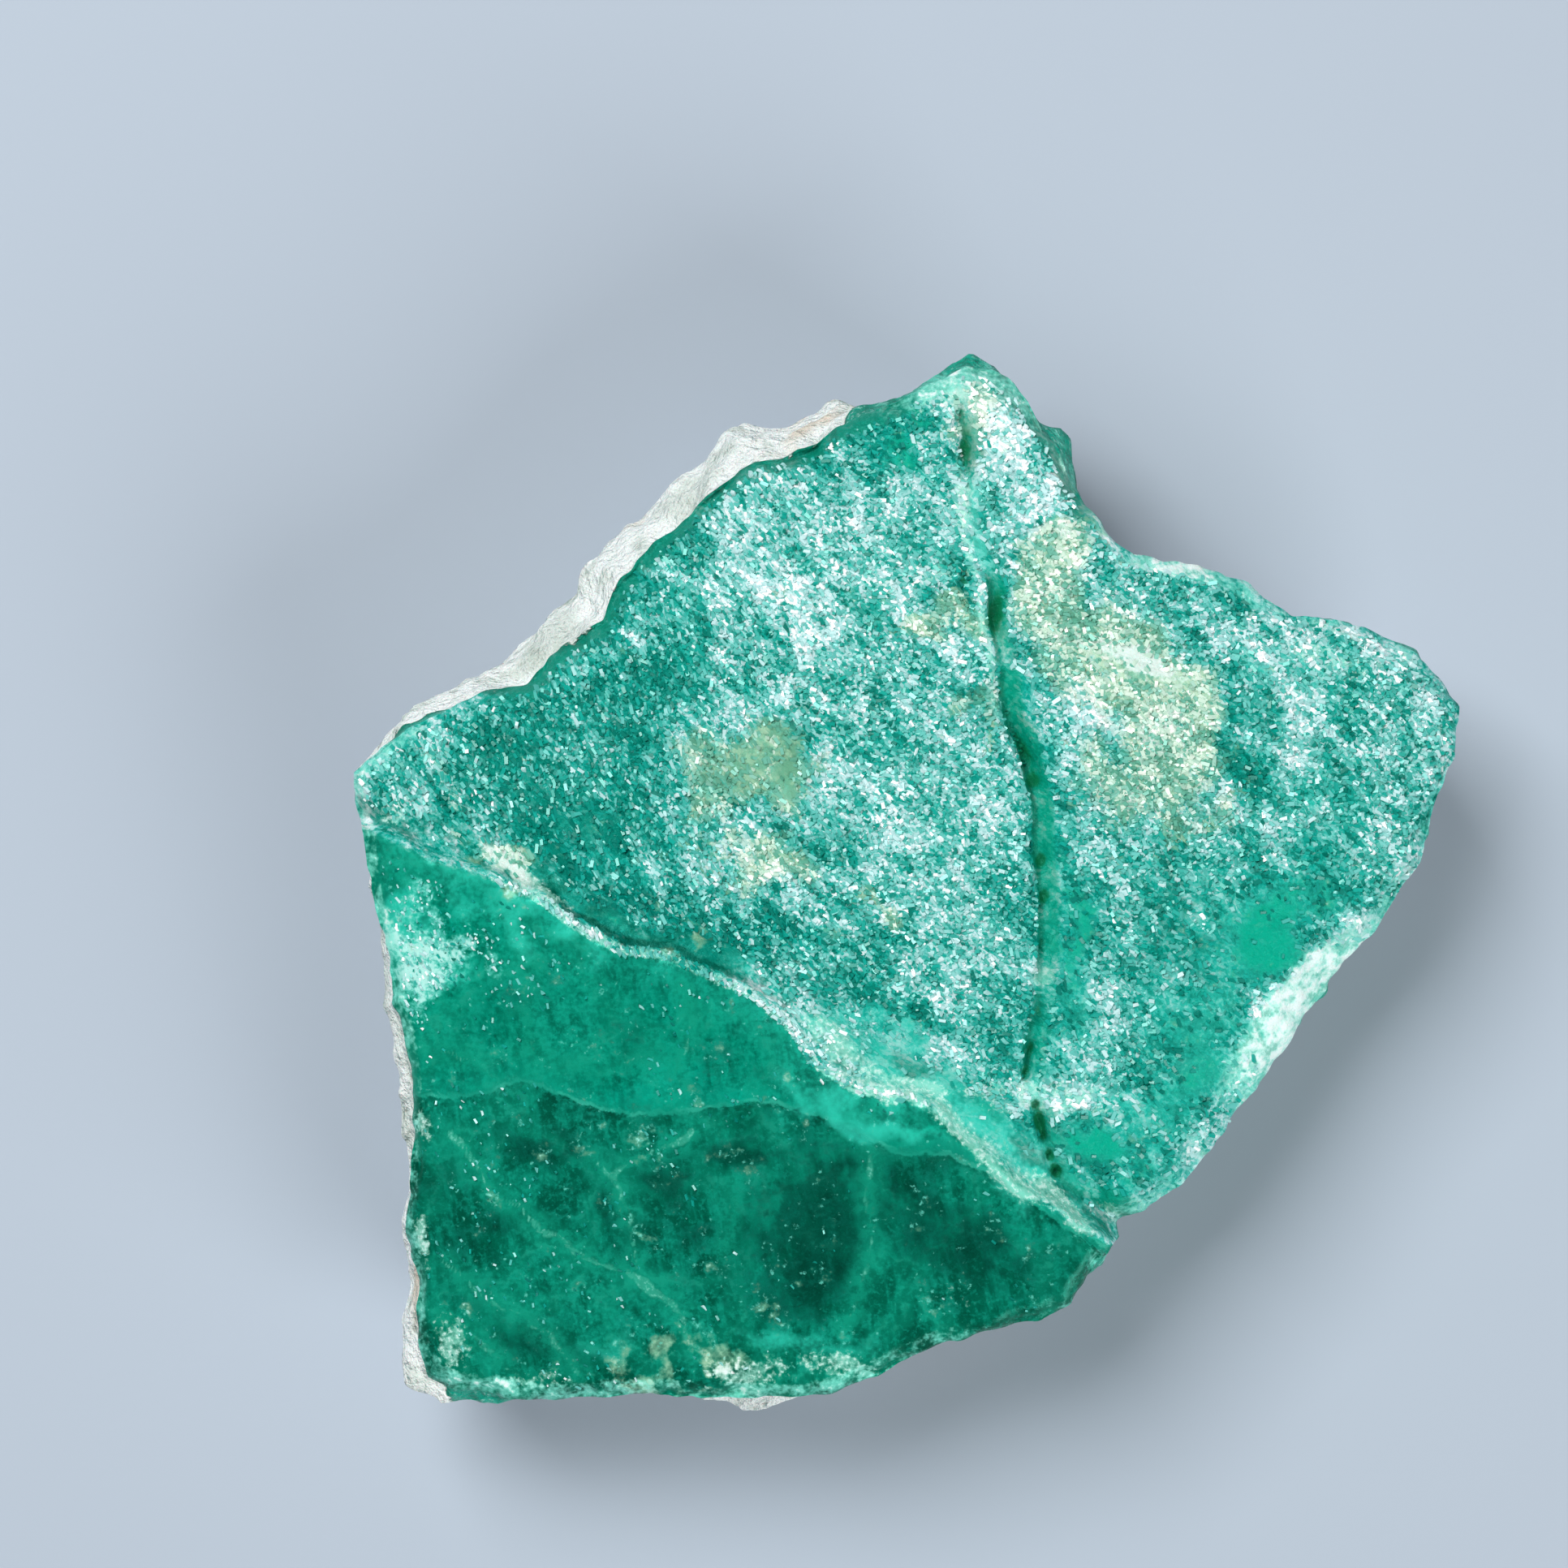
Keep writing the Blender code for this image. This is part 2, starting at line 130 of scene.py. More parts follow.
def lattice_noise(points, size, seed):
    """Random numbers, -1 to 1, at the corners of a lattice `size` mm wide, blended between them."""
    table = np.random.default_rng(SEED + seed).uniform(-1.0, 1.0, (64, 64, 64))
    cell = turned(points, seed) / size
    corner = np.floor(cell).astype(int)
    x, y, z = np.moveaxis(smooth(1.0, cell - corner), -1, 0)
    total = np.zeros(len(points))
    for i, wide in ((0, 1.0 - x), (1, x)):
        for j, deep in ((0, 1.0 - y), (1, y)):
            for k, tall in ((0, 1.0 - z), (1, z)):
                at = (corner + (i, j, k)) % 64
                total += wide * deep * tall * table[at[:, 0], at[:, 1], at[:, 2]]
    return total


def rumple(points, *layers):
    """A sum of noises, each given as its reach, its size in mm and its seed."""
    return sum(reach * lattice_noise(points, size, seed) for reach, size, seed in layers)


def shells(points, size, seed):
    """The squared distance, in sizes, to the nearest of a scatter of points, one to each `size` cube."""
    scatter = np.random.default_rng(SEED + seed).uniform(0.0, 1.0, (16, 16, 16, 3))
    cell = turned(points, seed) / size
    corner = np.floor(cell).astype(int)
    nearest = np.full(len(points), np.inf)
    for step in np.ndindex(3, 3, 3):
        at = corner + np.array(step) - 1
        spot = at + scatter[at[:, 0] % 16, at[:, 1] % 16, at[:, 2] % 16]
        nearest = np.minimum(nearest, ((spot - cell) ** 2).sum(axis=1))
    return nearest


sample = np.random.default_rng(1).uniform(-30.0, 30.0, (2000, 3))
print("noise", lattice_noise(sample, 5.0, 1).std().round(2))
print("hollows", shells(sample, 5.0, 1).mean().round(2))

# %% [markdown]
# ## The lines across the face
#
# Three lines cross the face: an open crack from the tip down to the lower notch, a ledge from
# the left edge to the same notch, and a low step under it. Each is a chain of points. What the
# ground and the colours need is how far a place is from the chain and on which side, so one
# function answers that for any chain. What has soft borders instead, such as a pit or later a
# stain, is a patch: an ellipse whose strength falls off as a bell curve. Overlapping patches
# join as paint would, each covering a share of what the others left bare.

# %% Distance to a chain
def beside(x, y, path):
    """Signed distance to a chain, and how many links along it the nearest place is.

    On each link that place is the dot product's share of it, held to 0..1. The distance is
    positive on the left of someone who walks along the chain.
    """
    nearest = np.full(len(x), np.inf)
    side = np.zeros(len(x))
    along = np.zeros(len(x))
    for link, (start, end) in enumerate(zip(path[:-1, :2], path[1:, :2])):
        run = end - start
        dx, dy = x - start[0], y - start[1]
        share = np.clip((dx * run[0] + dy * run[1]) / (run @ run), 0.0, 1.0)
        distance = np.hypot(dx - share * run[0], dy - share * run[1])
        closer = distance < nearest
        nearest = np.where(closer, distance, nearest)
        side = np.where(closer, np.sign(run[0] * dy - run[1] * dx), side)
        along = np.where(closer, link + share, along)
    return nearest * side, along


# %% The crack, the ledge and the step
# The crack: x, y, depth, how far its right side slopes, and how pale its left lip is
CRACK = np.array([
    (2.7, 26.6, 0.0, 0.5, 0.6), (2.8, 25.0, 0.4, 0.8, 0.5), (3.0, 23.1, 0.5, 0.9, 0.5),
    (3.2, 21.6, 0.2, 0.7, 0.9), (3.3, 19.6, 0.1, 0.7, 0.9), (3.8, 17.4, 0.1, 0.8, 0.7),
    (4.3, 16.2, 0.4, 0.8, 0.6), (4.3, 14.8, 0.7, 0.9, 0.8), (4.5, 13.1, 0.4, 0.8, 0.9),
    (4.9, 11.8, 0.3, 0.9, 0.9), (4.9, 10.4, 0.9, 2.0, 0.7), (5.2, 8.7, 1.2, 2.0, 0.5),
    (5.8, 7.8, 1.3, 1.7, 0.4), (6.2, 6.2, 1.2, 1.4, 0.2), (6.4, 5.2, 0.7, 1.3, 0.1),
    (6.7, 4.0, 0.6, 1.4, 0.1), (6.7, 2.2, 0.6, 1.6, 0.1), (6.8, 0.8, 0.5, 1.6, 0.1),
    (7.0, -0.4, 0.4, 1.5, 0.0), (7.0, -3.2, 0.4, 1.6, 0.1), (6.9, -5.0, 0.3, 1.6, 0.3),
    (6.8, -6.5, 0.3, 1.5, 0.1), (6.2, -8.7, 0.4, 1.3, 0.0), (6.3, -10.3, 0.3, 1.0, 0.2),
    (6.6, -11.2, 0.0, 0.8, 1.0), (6.7, -12.1, 0.3, 0.8, 0.3), (7.0, -13.0, 0.4, 0.8, 0.0),
    (7.4, -14.1, 0.3, 0.7, 0.1), (8.0, -15.5, 0.3, 0.7, 0.2), (8.4, -16.2, 0.3, 0.8, 0.2),
    (9.0, -16.6, 0.3, 0.9, 0.3), (9.7, -16.9, 0.3, 0.9, 0.4), (12.2, -18.2, 0.4, 0.9, 0.5),
])
# Pits in and beside it: x, y, half length, half width, turn in degrees, how deep in mm
PITS = [
    (4.65, 14.7, 1.5, 0.55, 82, 0.6), (2.9, 16.3, 0.6, 0.34, 90, 0.5), (2.95, 23.3, 1.6, 0.5, 86, 0.5),
    (2.8, 25.6, 0.7, 0.3, 85, 0.3), (6.1, 7.3, 1.5, 0.42, -62, 0.5), (6.6, 5.6, 0.5, 0.4, -70, 0.6),
    (7.05, 1.3, 0.5, 0.32, 85, 0.7), (7.2, -0.6, 0.45, 0.30, 80, 0.7), (7.05, -3.1, 0.45, 0.28, 90, 0.4),
    (7.0, -6.8, 0.7, 0.26, 95, 0.4), (6.5, -8.8, 0.8, 0.26, 75, 0.5), (6.2, -10.1, 0.5, 0.28, 75, 0.6),
    (6.75, -11.8, 0.3, 0.26, 80, 0.7), (7.0, -12.7, 0.5, 0.32, 100, 0.9), (7.2, -13.5, 0.36, 0.26, 110, 0.8),
    (7.6, -14.6, 0.34, 0.26, 110, 0.8), (8.0, -15.5, 0.36, 0.32, 110, 0.95),
]
LEDGE = np.array([
    (-32.0, 4.2), (-28.0, 2.6), (-25.7, 1.5), (-22.5, 0.5), (-19.8, -0.6), (-17.9, -2.1),
    (-15.4, -3.4), (-12.9, -3.7), (-10.4, -4.9), (-8.2, -5.9), (-6.2, -7.6), (-5.1, -9.4),
    (-2.8, -10.9), (0.4, -11.3), (2.1, -12.8), (4.9, -14.9), (6.8, -16.8), (9.0, -18.2),
    (13.0, -20.6),
])
STEP = np.array([
    (-31.0, -11.5), (-23.6, -11.4), (-20.8, -10.5), (-18.0, -11.6), (-15.4, -12.4),
    (-12.0, -12.2), (-8.2, -11.6), (-5.7, -12.1), (-3.5, -12.9), (-0.7, -14.4), (2.1, -14.5),
    (4.9, -15.8), (9.0, -18.8),
])


def patches(x, y, table):
    """1 minus the product of (1 - strength e^(-d^2)) for ellipses x, y, long, wide, turn, strength."""
    bare = np.ones(len(x))
    for at_x, at_y, long, wide, turn, strength in table:
        c, s = np.cos(np.radians(turn)), np.sin(np.radians(turn))
        along, across = (x - at_x) * c + (y - at_y) * s, (y - at_y) * c - (x - at_x) * s
        bare *= 1.0 - strength * np.exp(-((along / long) ** 2) - (across / wide) ** 2)
    return 1.0 - bare


crack_length = np.hypot(*np.diff(CRACK[:, :2], axis=0).T).sum()
print("the crack is", round(crack_length, 1), "mm long, with", len(PITS), "pits")

# %% [markdown]
# ## The plateau
#
# The upper ground is nearly flat: a very shallow dome with broad swells. Right of the crack the
# block has dropped a little and leans away. The crack itself is steep on its left side, which
# has a raised lip, and slopes up gently on its right.

# %% The plateau's height
THICKNESS = 15.0
SWELLS = np.array([  # x, y, radius, height
    (0.4, 23.2, 1.9, -0.35), (-8.0, 7.0, 5.0, 0.30), (-19.0, 6.5, 4.5, -0.25), (12.0, 9.5, 4.5, 0.35),
    (17.5, -3.5, 4.0, -0.30), (10.8, -14.8, 2.8, -0.45), (8.0, -11.2, 2.2, 0.35),
    (-0.5, -6.0, 3.5, 0.25), (22.0, 8.0, 4.0, 0.2),
])
DOME_MIDDLE, DOME_RADIUS = (-2.0, 8.0), 400.0
BLOCK_DROP, BLOCK_EDGE, BLOCK_SLOPE = 0.25, 1.5, 0.05  # mm down, over how many mm, and then down per mm
CRACK_WALL, OPEN_CURVE = 0.45, 1.3  # width of the steep side, and how the open side curves
CRACK_LIP, LIP_OFF, LIP_SPREAD = 0.08, 0.9, 0.3  # the lip's height, its distance, its width squared


def plateau_height(x, y):
    """Dome, plus a bell curve for each swell, less the block's drop and the crack's two sides."""
    height = THICKNESS - ((x - DOME_MIDDLE[0]) ** 2 + (y - DOME_MIDDLE[1]) ** 2) / (2 * DOME_RADIUS)
    for at_x, at_y, radius, rise in SWELLS:
        height += rise * np.exp(-((x - at_x) ** 2 + (y - at_y) ** 2) / (2 * radius**2))
    right, along = beside(x, y, CRACK)
    height -= BLOCK_DROP * smooth(BLOCK_EDGE, right) + BLOCK_SLOPE * np.maximum(right, 0.0)
    depth = np.interp(along, range(len(CRACK)), CRACK[:, 2])
    slope = np.interp(along, range(len(CRACK)), CRACK[:, 3])
    open_side = np.clip(1.0 - right / slope, 0.0, 1.0) ** OPEN_CURVE
    steep_side = smooth(CRACK_WALL, right + CRACK_WALL)
    height -= depth * np.where(right > 0.0, open_side, steep_side)
    return height + CRACK_LIP * np.exp(-((right + LIP_OFF) ** 2) / LIP_SPREAD) * smooth(0.5, depth)


print("plateau middle", plateau_height(np.array([-5.0]), np.array([8.0])).round(2), "mm up")

# %% [markdown]
# ## The rim and the wall's measures
#
# Going round the stone, the rim is worn by different amounts, the wall swells out or stays
# upright, and the underside's edge stands off the ground. A table by bearing holds these, and
# values between its rows are blended.

# %% The rim and the wall by bearing
# Bearing in degrees from +X, rim width, rim drop, swell of the wall, lift and reach of its foot
WALL = np.array([
    (-180, 0.9, 0.6, 0.3, 1.6, 4.0), (-150, 0.8, 0.6, 0.4, 1.2, 3.0), (-133, 1.0, 0.8, 0.2, 2.6, 6.0),
    (-118, 0.9, 0.7, -0.1, 1.4, 4.0), (-96, 1.0, 0.7, 0.1, 1.0, 3.0), (-75, 0.9, 0.7, -0.2, 2.2, 5.0),
    (-55, 1.0, 0.8, -0.4, 2.4, 4.0), (-46, 2.2, 1.6, -0.6, 1.6, 3.5), (-30, 2.8, 1.9, -0.6, 2.4, 5.0),
    (-12, 3.2, 2.2, -0.6, 1.6, 6.0), (-2, 2.0, 1.3, -0.5, 2.6, 8.0), (8, 1.3, 0.9, -0.4, 4.0, 11.0),
    (17, 1.4, 1.0, -0.3, 4.8, 13.0), (30, 1.6, 1.0, 0.0, 3.0, 8.0), (46, 1.2, 0.9, 0.2, 1.8, 5.0),
    (60, 1.1, 0.9, 0.2, 2.6, 6.0), (72, 1.2, 0.9, -0.1, 3.6, 8.0), (86, 0.9, 0.7, 0.0, 2.6, 7.0),
    (93, 1.1, 0.9, 1.5, 1.6, 5.0), (125, 1.3, 1.0, 1.7, 1.2, 3.5), (150, 1.2, 1.0, 1.6, 2.0, 4.0),
    (158, 0.9, 0.7, 0.8, 3.2, 6.0), (168, 0.9, 0.6, 0.5, 3.6, 7.0), (180, 0.9, 0.6, 0.3, 1.6, 4.0),
])


def bearing_of(x, y):
    """The direction from the middle of the face, in degrees from +X."""
    return np.degrees(np.arctan2(y - FACE_MIDDLE[1], x - FACE_MIDDLE[0]))


def wall_at(x, y):
    """The rim's width and drop, the wall's swell, and the foot's lift and reach, at a point's bearing."""
    return [np.interp(bearing_of(x, y), WALL[:, 0], WALL[:, column]) for column in range(1, 6)]


print("rim width from", WALL[:, 1].min(), "to", WALL[:, 1].max(), "mm")

# %% [markdown]
# ## The whole face
#
# Below the ledge lies smoother ground, a little lower and sloping away, with the step across it.
# A worn trough runs along the ledge's upper side, so the ledge reads as a crest. The last term
# is the worn rim, a quarter-round of its own width and drop at each bearing.

# %% The face's height
TROUGH_DEPTH, TROUGH_AT, TROUGH_WIDTH = 0.8, 1.0, 1.1
LIP_HEIGHT, LOW_SLOPE, STEP_DROP, STEP_EDGE, LEDGE_EDGE = 14.6, 0.095, 0.45, 0.8, 0.9
RIM_CURVE = 1.8
SWELLING = ((0.12, 0.10, 5.0, 1), (0.04, 0.09, 2.0, 2))  # reach, more above the ledge, size, seed


def on_ground(x, y):
    """The same places as points with height 0, for the random fields."""
    return np.stack([x, y, np.zeros_like(x)], axis=-1)


def inside_rim(x, y):
    """How far a place on the face is from the rim."""
    return np.abs(beside(x, y, LOOP)[0])


def face_height(x, y):
    """Plateau less trough above the ledge, the sloping ground less its step below it, noise, rim."""
    above, _ = beside(x, y, LEDGE)
    over_step, _ = beside(x, y, STEP)
    trough = TROUGH_DEPTH * np.exp(-((above - TROUGH_AT) ** 2) / (2 * TROUGH_WIDTH**2))
    upper = plateau_height(x, y) - trough
    step = STEP_DROP * smooth(STEP_EDGE, STEP_EDGE / 2 - over_step)
    lower = LIP_HEIGHT - LOW_SLOPE * np.maximum(-above, 0.0) - step
    height = lower + (upper - lower) * smooth(LEDGE_EDGE, above + LEDGE_EDGE / 3)
    for reach, more, size, seed in SWELLING:
        height += (reach + more * smooth(2.0, above)) * lattice_noise(on_ground(x, y), size, seed)
    width, drop = wall_at(x, y)[:2]
    return height - drop * np.clip(1.0 - inside_rim(x, y) / width, 0.0, 1.0) ** RIM_CURVE


print("below the ledge", face_height(np.array([-10.0]), np.array([-20.0])).round(2), "mm up")

# %% [markdown]
# ## Torn edges and fine relief
#
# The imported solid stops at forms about 2 mm wide. Here the same ground gets what the eye sees
# closer up. The ledge and the crack waver, because they are torn. The ledge's crest is a row
# of crumbs. The plateau is lumpy at a millimetre and half a millimetre, like coarse sugar, and
# the waxy lower ground has only faint ripples.

# %% The face with its fine relief
CRUMB, CREST_OFF, CREST_SPREAD = (0.18, 0.9, 25), 0.25, 0.35
LUMPS = ((0.04, 0.11, 1.1, 26), (0.02, 0.06, 0.55, 27))  # reach, more above the ledge, size, seed


def moved(x, y, coarse, fine, seed, reach=1.0):
    """Places moved by two noises, each a reach and a size in mm, with seeds counted up from `seed`."""
    place = on_ground(x, y)
    return [
        c + reach * rumple(place, (*coarse, seed + 2 * axis), (*fine, seed + 2 * axis + 1))
        for axis, c in enumerate((x, y))
    ]


def torn_face(x, y):
    """The face's height at places moved by up to 0.35 mm, plus crumbs on the ledge, pits and lumps."""
    place = on_ground(x, y)
    torn_x, torn_y = moved(x, y, (0.25, 1.7), (0.10, 0.7), 21)
    height = face_height(torn_x, torn_y)
    above, _ = beside(torn_x, torn_y, LEDGE)
    crest = np.exp(-((above + CREST_OFF) ** 2) / CREST_SPREAD)
    height += crest * rumple(place, CRUMB) - patches(x, y, PITS)
    for reach, more, size, seed in LUMPS:
        height += (reach + more * smooth(2.5, above + 0.5)) * lattice_noise(place, size, seed)
    return height


def rim_jag(x, y):
    """How far the rim's chips stand out of or into the outline at a rim point."""
    return rumple(on_ground(x, y), (0.17, 1.4, 28), (0.09, 0.6, 29))


print("rim chips of up to", np.abs(rim_jag(*outline_point(np.linspace(0, 1, 4000)))).max().round(2), "mm")

# %% [markdown]
# ## The broken wall
#
# Under the rim the slab is broken all round, 15 mm tall. A wall could be the rim pulled straight
# down, but broken mineral is never straight: it is scooped by shell-shaped breaks and drawn in
# at the foot. So each wall point runs out from the rim, along the line from the middle of the
# face, by the sum of those. The upper-left wall is the crust that the mineral grew on. It bulges
# out below the rim, and is lumpy and pitted like old plaster.

# %% The wall
BREAKS = ((2.2, 7.0, 3, 0.35), (0.7, 3.0, 4, 0.30))  # how deep, size and seed, and what stays flush
# Shares of the way down the wall, then mm, then bearings
SWELL_BY, BREAK_BY, TUCK_FROM, TUCK_OVER, FOOT_CRUST_FROM = 0.28, 0.15, 0.65, 0.4, 0.85
TUCK, WALL_PIT_DEPTH = 1.6, 0.35
GREEN_RIM_FROM, CRUST_FROM, CRUST_TO = 54.0, 88.0, 156.0


def up_to_crust_end(x, y, start, ramp):
    """1 from the bearing `start` to where the crust's wall ends, 0 elsewhere, with soft ends."""
    bearing = bearing_of(x, y)
    return smooth(ramp, bearing - start) * smooth(5.0, CRUST_TO - bearing)


def wall_point(turn, down):
    """The rim point at `down` 0, then swell, breaks, chips, crust and tuck, to the foot at 1."""
    rim_x, rim_y = outline_point(turn)
    rim_z = torn_face(rim_x, rim_y)
    away = np.stack([rim_x - FACE_MIDDLE[0], rim_y - FACE_MIDDLE[1]], axis=-1)
    swell, lift = wall_at(rim_x, rim_y)[2:4]
    z = rim_z + (lift - rim_z) * down
    place = np.stack([rim_x, rim_y, z], axis=-1)
    breaks = sum(deep * (shells(place, size, seed) - flush) for deep, size, seed, flush in BREAKS)
    out = swell * smooth(SWELL_BY, down) + breaks * smooth(BREAK_BY, down)
    out -= TUCK * smooth(TUCK_OVER, down - TUCK_FROM)
    crust = np.maximum(up_to_crust_end(rim_x, rim_y, CRUST_FROM, 4.0), smooth(0.1, down - FOOT_CRUST_FROM))
    lumps = rumple(place, (0.30, 1.6, 31), (0.16, 0.8, 32))
    pits = -WALL_PIT_DEPTH * smooth(0.5, lattice_noise(place, 1.9, 33) - 0.25)
    grit = rumple(place, (0.10, 1.2, 34), (0.06, 0.6, 35))
    out += (crust * (lumps + pits) + (1.0 - crust) * grit) * smooth(0.05, down)
    out += rim_jag(rim_x, rim_y) * (1.0 - smooth(0.5, down))
    ledges = rumple(place, (0.6, 4.0, 5)) * np.sin(np.pi * down)
    stretch = 1.0 + out / np.hypot(away[:, 0], away[:, 1])
    return FACE_MIDDLE[0] + away[:, 0] * stretch, FACE_MIDDLE[1] + away[:, 1] * stretch, z + ledges


foot = np.stack(wall_point(np.linspace(0, 1, 500), np.ones(500)))
print("the foot stands", foot[2].min().round(2), "to", foot[2].max().round(2), "mm off the ground")

# %% [markdown]
# ## The back
#
# The back grew against the rock: a crust with hollows, flat enough in the middle for the stone
# to lie still on. Its pits only ever go up from that flat, so that the stone keeps its seat.

# %% The back's height
HOLLOW_DEPTH, REST_MIDDLE, REST_FLAT = 1.4, (-2.0, 0.0), 9.0
BACK_PITS = ((0.5, 2.2, 36, 0.2), (0.2, 1.0, 37, 0.0))  # how deep, size and seed, and what stays whole


def back_height(x, y, from_edge, lift, reach):
    """Rise to the edge, hollows outside the flat, and pits of two sizes everywhere."""
    place = on_ground(x, y)
    hollows = lattice_noise(place, 9.0, 6) + 0.5 * shells(place, 5.0, 7) - 0.15
    sound = smooth(5.0, np.hypot(x - REST_MIDDLE[0], y - REST_MIDDLE[1]) - REST_FLAT)
    inward = 1.0 - np.clip(from_edge / reach, 0.0, 1.0)
    uneven = 1.0 + 0.35 * lattice_noise(place, 4.0, 8) * (1.0 - inward**4)
    height = lift * inward**1.6 * uneven + HOLLOW_DEPTH * np.maximum(hollows, 0.0) * sound * (1.0 - inward)
    pits = sum(
        deep * smooth(0.6, lattice_noise(place, size, seed) - whole) for deep, size, seed, whole in BACK_PITS
    )
    return height + pits * (1.0 - inward**4)


print("back from", back_height(*np.zeros((2, 1)), np.array([20.0]), 1.6, 4.0).round(2), "mm up")

# %% [markdown]
# ## One closed skin
#
# Face, wall and back must meet with no gap. A grid bent into the five-sided outline would pinch
# at its corners, so a square grid is first rounded to a disc, and each ring of the disc becomes
# a shrunken copy of the outline. The square's border is then the rim, and its points, carried
# down the wall row by row, end on the border of a second grid, half as fine, which is the back.

# %% A square grid as a disc
def disc_grid(cells):
    """A square grid's ring and turn: x sqrt(1 - y^2/2) and y sqrt(1 - x^2/2) make a square a disc."""
    s, t = np.meshgrid(np.linspace(-1, 1, cells + 1), np.linspace(-1, 1, cells + 1))
    across, up = s * np.sqrt(1.0 - t * t / 2.0), t * np.sqrt(1.0 - s * s / 2.0)
    return np.hypot(across, up).ravel(), (0.125 - np.arctan2(up, across) / (2.0 * np.pi)).ravel()


def border(cells):
    """The grid's border as indices, counter-clockwise from its first corner."""
    index = np.arange((cells + 1) ** 2).reshape(cells + 1, cells + 1)
    return np.concatenate([index[0, :-1], index[:-1, -1], index[-1, :0:-1], index[:0:-1, 0]])


def grid_quads(cells):
    """The grid's quads, counter-clockwise."""
    index = np.arange((cells + 1) ** 2).reshape(cells + 1, cells + 1)
    return np.stack([index[:-1, :-1], index[:-1, 1:], index[1:, 1:], index[1:, :-1]], axis=-1).reshape(-1, 4)


print("a grid of 4 cells has", len(border(4)), "border points and", len(grid_quads(4)), "quads")

# %% The points of the face, the wall and the back
CELLS, ROWS = 232, 34


def shrunken(ring, edge_x, edge_y):
    """A place `ring` of the way from the middle of the face to the edge."""
    return [middle + ring * (edge - middle) for middle, edge in zip(FACE_MIDDLE, (edge_x, edge_y))]


ring, turn = disc_grid(CELLS)
rim_x, rim_y = outline_point(turn)
face_x, face_y = shrunken(ring, rim_x, rim_y)
face_z = torn_face(face_x, face_y)
reach_out = np.hypot(rim_x - FACE_MIDDLE[0], rim_y - FACE_MIDDLE[1])
chip = rim_jag(rim_x, rim_y) * np.exp(-(1.0 - ring) * reach_out / 0.7) / reach_out
face_inside = inside_rim(face_x, face_y)
face = np.stack([*shrunken(ring + chip, rim_x, rim_y), face_z], axis=-1)

wall_turn = np.tile(turn[border(CELLS)], ROWS - 1)
wall_down = np.repeat((np.arange(1, ROWS) / ROWS) ** 1.15, len(border(CELLS)))
wall = np.stack(wall_point(wall_turn, wall_down), axis=-1)

ring, turn = disc_grid(CELLS // 2)
foot_x, foot_y, _ = wall_point(turn, np.ones_like(turn))
back_x, back_y = shrunken(ring, foot_x, foot_y)
from_edge = (1.0 - ring) * np.hypot(foot_x - FACE_MIDDLE[0], foot_y - FACE_MIDDLE[1])
lift, reach = wall_at(*outline_point(turn))[3:]
back = np.stack([back_x, back_y, back_height(back_x, back_y, from_edge, lift, reach)], axis=-1)
print(len(face), "face points,", len(wall), "wall points,", len(back), "back points")

# %% Sewing the three together
wall_start, back_start = len(face), len(face) + len(wall)
per_row = len(border(CELLS))
rows = np.vstack([border(CELLS), wall_start + np.arange(len(wall)).reshape(-1, per_row)])
after = np.roll(rows, -1, axis=1)
wall_quads = np.stack([rows[:-1], rows[1:], after[1:], after[:-1]], axis=-1).reshape(-1, 4)
last, foot_ring = rows[-1], back_start + border(CELLS // 2)
even, odd, even_on, foot_on = last[::2], last[1::2], np.roll(last[::2], -1), np.roll(foot_ring, -1)
seam = np.vstack([
    np.stack(corners, axis=-1)
    for corners in ((even, foot_ring, odd), (odd, foot_ring, foot_on), (odd, foot_on, even_on))
])
quads = np.vstack([grid_quads(CELLS), wall_quads, back_start + grid_quads(CELLS // 2)[:, ::-1]])
stone_points = np.vstack([face, wall, back])
print(len(quads) * 2 + len(seam), "triangles in the stone")

# %% [markdown]
# ## Into place
#
# The stone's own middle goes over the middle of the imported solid, and its lowest point on the
# ground. The same shift later places the grains and the camera. The object itself stays at the
# origin, unturned, so that textures which read object coordinates read real places.

# %% From points to a mesh
SHIFT = np.array([*((np.array(low[:2]) + np.array(high[:2])) / 2 / MM), 0.0]) - np.array([
    *((stone_points.min(axis=0) + stone_points.max(axis=0)) / 2)[:2], stone_points[:, 2].min(),
])


def mesh_object(name, points, faces):
    """An object at the origin whose mesh has these points, in mm, moved by the shift."""
    mesh = bpy.data.meshes.new(name)
    mesh.from_pydata(((points + SHIFT) * MM).tolist(), [], faces)
    mesh.update()
    made = bpy.data.objects.new(name, mesh)
    bpy.context.scene.collection.objects.link(made)
    return made


stone = mesh_object("smithsonite_stone", stone_points, quads.tolist() + seam.tolist())
stone.data.polygons.foreach_set("use_smooth", np.ones(len(stone.data.polygons), bool))
ends = np.sort(np.array([edge.vertices[:] for edge in stone.data.edges]), axis=1)
euler = len(stone_points) - len(ends) + len(quads) + len(seam)
print("shift", SHIFT.round(2), "mm; points - edges + faces =", euler)
